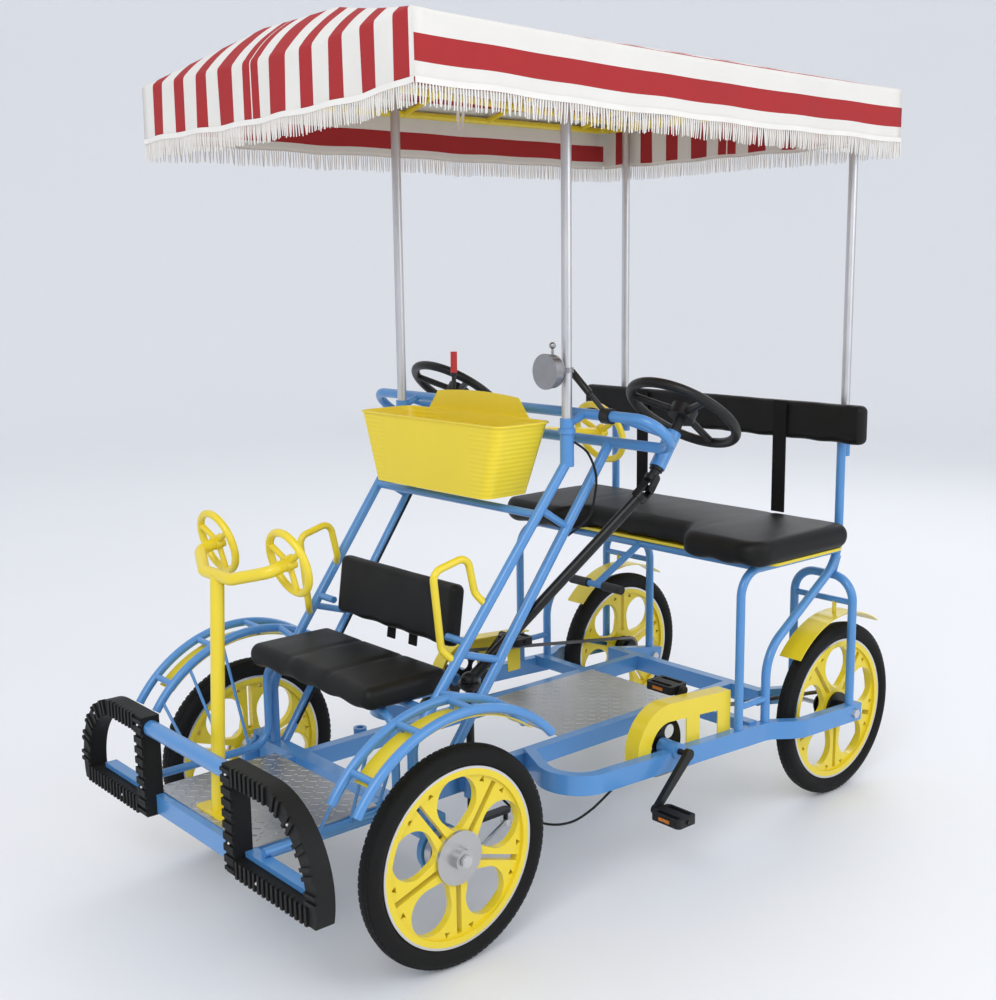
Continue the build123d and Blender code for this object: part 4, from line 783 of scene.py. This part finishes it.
# Tyre tread: rows of small blocks around each tyre
WHEELS = (
    ("front_left", FRONT_X, FRONT_WHEEL_Y),
    ("front_right", FRONT_X, -FRONT_WHEEL_Y),
    ("rear_left", REAR_X, REAR_WHEEL_Y),
    ("rear_right", REAR_X, -REAR_WHEEL_Y),
)
TREAD_COUNT, TREAD_HIGH, TREAD_SINK = 96, 0.0022, 0.0006
TREAD_ROWS = (
    # offset across the tyre, block's width, block's length, drop from the crown, shift in blocks
    (0.0, 0.008, 0.0135, 0.0006, 0.0),
    (0.011, 0.008, 0.0125, 0.0031, 0.5),
    (-0.011, 0.008, 0.0125, 0.0031, 0.5),
)
for name, centre_x, centre_y in WHEELS:
    tread = Pile()
    for i in range(TREAD_COUNT):
        for offset, across, long, dip, shift in TREAD_ROWS:
            a = 2 * math.pi * (i + shift) / TREAD_COUNT
            out = Vector((math.cos(a), 0, math.sin(a)))
            along = Vector((-math.sin(a), 0, math.cos(a)))
            place = Vector((centre_x, centre_y + offset, AXLE_Z)) + out * (TYRE_R - dip - TREAD_SINK)
            tread.box(place, (along, (0, 1, 0), out), (long, across, TREAD_HIGH))
    tread.object("tread_" + name, tyre_rubber, "wheel_" + name)

# Bumper: rivets and ribs on the rubber loops, along the middle of their band
LOOP_BAND = 0.038
LOOP_INNER, LOOP_TOP, LOOP_BASE = 0.188, 0.512, 0.266
ARC_Y, ARC_R = 0.345, 0.1964
ARC_START, ARC_STEP, ARC_MARKS = 88, 17, 6
MARK_STEP, MARK_INSET = 0.036, 0.02
UPRIGHT_MARKS, TOP_MARKS, BASE_MARKS = 8, 3, 8
RIVET_R, RIVET_HIGH = 0.0045, 0.006
RIB_APART, RIB_SIZE = 0.009, (0.010, 0.0085, 0.040)
RIVET_FIRST, RIVET_EVERY = 2, 6
mid_y = LOOP_INNER + LOOP_BAND / 2
mid_r = ARC_R - LOOP_BAND / 2
arc_z = LOOP_TOP - ARC_R
upright = LOOP_TOP - LOOP_BASE - 2 * MARK_INSET
path = []
for k in range(UPRIGHT_MARKS + 1):
    path.append((mid_y, LOOP_BASE + MARK_INSET + k * upright / UPRIGHT_MARKS, (0, 1)))
for k in range(1, TOP_MARKS + 1):
    path.append((mid_y + k * MARK_STEP, LOOP_TOP - LOOP_BAND / 2, (1, 0)))
for k in range(ARC_MARKS):
    a = math.radians(ARC_START - ARC_STEP * k)
    along = (-math.sin(a), math.cos(a))
    path.append((ARC_Y + mid_r * math.cos(a), arc_z + mid_r * math.sin(a), along))
for k in range(1, BASE_MARKS + 1):
    path.append((LOOP_INNER + MARK_INSET + k * MARK_STEP, LOOP_BASE + LOOP_BAND / 2, (1, 0)))
face_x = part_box("bumper_pads")[1].x
rivets = Pile()
ribs = Pile()
for s in SIDES:
    for y, z, _ in path[RIVET_FIRST::RIVET_EVERY]:
        rivets.dome((face_x, s * y, z), (1, 0, 0), RIVET_R, RIVET_HIGH)
    for y, z, (ty, tz) in path:
        along = Vector((0, s * ty, tz))
        for ahead in (RIB_APART, -RIB_APART):
            spot = Vector((face_x, s * y, z)) + along * ahead
            ribs.box(spot, ((1, 0, 0), along, (0, -s * tz, ty)), RIB_SIZE)
rivets.object("bumper_rivets", steel)
ribs.object("bumper_ribs", rubber)

# Checker plates: raised bars on the floors
BAR_PITCH, BAR_SIZE = 0.024, (0.019, 0.0048, 0.0022)
FLOORS = (
    # rear edge, front edge, half width, top
    (fore(0.060), fore(0.372), 0.215, 0.319),
    (fore(-1.040), fore(-0.582), 0.168, 0.316),
)
bars = Pile()
for x0, x1, half, top in FLOORS:
    for i in range(int((x1 - x0) / BAR_PITCH) + 1):
        for j in range(int(2 * half / BAR_PITCH) + 1):
            a = math.radians(45 if (i + j) % 2 else -45)
            long_way = (math.cos(a), math.sin(a), 0)
            short_way = (-math.sin(a), math.cos(a), 0)
            spot = (x0 + i * BAR_PITCH, -half + j * BAR_PITCH, top)
            bars.box(spot, (long_way, short_way, (0, 0, 1)), BAR_SIZE)
bars.object("checker_bars", aluminium)

# Pedals: amber reflectors on the front and rear edges
REFLECTOR_SIZE, REFLECTOR_OUT = (0.003, 0.034, 0.008), 0.0012
for name in ("left_outer", "left_inner", "right_outer", "right_inner"):
    pedal_low, pedal_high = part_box("pedal_" + name)
    middle = (pedal_low + pedal_high) / 2
    lens = Pile()
    for x in (pedal_low.x - REFLECTOR_OUT, pedal_high.x + REFLECTOR_OUT):
        lens.box((x, middle.y, middle.z), ALONG_AXES, REFLECTOR_SIZE)
    lens.object("reflectors_" + name, amber, "pedal_" + name)


# Free brake cables: one below the left side rail, one between the left post's socket and its tower

def eased(points, per_span=12):
    """Smooth line through a few points."""
    points = [Vector(p) for p in points]
    last = len(points) - 1
    line = []
    for i in range(last):
        before, start, end, after = (points[max(0, min(last, i + k))] for k in (-1, 0, 1, 2))
        for k in range(per_span):
            t = k / per_span
            line.append(
                start
                + (end - before) * (t / 2)
                + (before * 2 - start * 5 + end * 4 - after) * (t**2 / 2)
                + (start * 3 - before - end * 3 + after) * (t**3 / 2)
            )
    return line + [points[-1]]


CABLE_R, CABLE_SIDES = 0.003, 10
CABLES = {
    "brake_cable_low": (
        (fore(-0.315), 0.190, 0.270),
        (fore(-0.308), 0.255, 0.236),
        (fore(-0.306), 0.335, 0.221),
        (fore(-0.320), 0.405, 0.219),
        (fore(-0.362), 0.440, 0.224),
        (fore(-0.420), 0.449, 0.241),
        (fore(-0.488), 0.451, 0.2725),
    ),
    "brake_cable_high": (
        (fore(-0.469), 0.3435, 1.125),
        (fore(-0.505), 0.353, 1.095),
        (fore(-0.530), 0.355, 1.040),
        (fore(-0.528), 0.352, 0.985),
        (fore(-0.513), 0.346, 0.935),
        (fore(-0.463), 0.3255, 0.895),
    ),
}
for name, marks in CABLES.items():
    line = eased(marks)
    cable = Pile()
    cable.tube(line, CABLE_R, CABLE_SIDES)
    piece = cable.object(name, rubber, smooth=True)

# Studio: a pale floor that sweeps up into a wall all round
BOWL_R, BOWL_CURVE, BOWL_HIGH = 9.0, 4.0, 6.5
BOWL_SIDES, CURVE_STEPS, CURVE_STEP = 72, 18, 5
FLOOR_Z = -0.001
profile = [(r, FLOOR_Z) for r in (0.0, 2.0, 4.0, 6.0, 8.0, BOWL_R)]
for k in range(1, CURVE_STEPS + 1):
    a = math.radians(CURVE_STEP * k)
    profile.append((BOWL_R + BOWL_CURVE * math.sin(a), BOWL_CURVE * (1 - math.cos(a)) + FLOOR_Z))
profile.append((BOWL_R + BOWL_CURVE, BOWL_HIGH))
bowl = Pile()
rings = [[(r * math.cos(t), r * math.sin(t), z) for t in around(BOWL_SIDES)] for r, z in profile]
bowl.grid(rings, close_columns=True)
floor_data = bpy.data.meshes.new("floor")
floor_data.from_pydata([tuple(v) for v in bowl.verts], [], bowl.faces)
for polygon in floor_data.polygons:
    polygon.use_smooth = True
floor_data.materials.append(
    finish_material("pale_floor", (0.84, 0.85, 0.87), 0.6, spread=0.015, scale=0.6)
)
floor = linked("floor", floor_data)

world = bpy.data.worlds.new("studio")
bpy.context.scene.world = world
world.use_nodes = True
background = world.node_tree.nodes["Background"]
dress(world.node_tree, background, {"Color": (0.86, 0.88, 0.92, 1), "Strength": 1.0})

LIGHTS = (
    # name, place, what it points at, size, power
    ("key", (4.5, 3.0, 4.5), (0, 0, 0.8), 3.0, 120),
    ("side", (-1.5, 5.5, 3.0), (0, 0, 0.9), 3.5, 75),
    ("back", (-5.0, -2.0, 4.0), (0, 0, 1.0), 3.0, 50),
)
for name, place, target, size, power in LIGHTS:
    lamp = bpy.data.lights.new(name, "AREA")
    lamp.shape = "SQUARE"
    lamp.size = size
    lamp.energy = power
    light = linked(name, lamp)
    light.location = place
    light.rotation_mode = "QUATERNION"
    light.rotation_quaternion = (Vector(target) - Vector(place)).to_track_quat("-Z", "Y")

# Camera at the photograph's viewpoint
YAW, PITCH, ROLL = 4.00022434, -0.1758698, -0.01291454
CAMERA_PLACE = (FRONT_X + 1.67897, 2.54877, 1.53297)
SENSOR, LENS = 36, 46.62
NEAREST, FARTHEST = 0.05, 200
forward = Vector(
    (math.cos(PITCH) * math.cos(YAW), math.cos(PITCH) * math.sin(YAW), math.sin(PITCH))
)
right = forward.cross(Vector((0, 0, 1))).normalized()
above = right.cross(forward)
right_rolled = right * math.cos(ROLL) + above * math.sin(ROLL)
above_rolled = above * math.cos(ROLL) - right * math.sin(ROLL)
camera_data = bpy.data.cameras.new("camera")
camera_data.sensor_width = SENSOR
camera_data.lens = LENS
camera_data.clip_start = NEAREST
camera_data.clip_end = FARTHEST
camera = linked("camera", camera_data)
facing = Matrix((right_rolled, above_rolled, -forward)).transposed()
camera.matrix_world = Matrix.Translation(CAMERA_PLACE) @ facing.to_4x4()
bpy.context.scene.camera = camera
bpy.context.scene.view_settings.view_transform = "Standard"
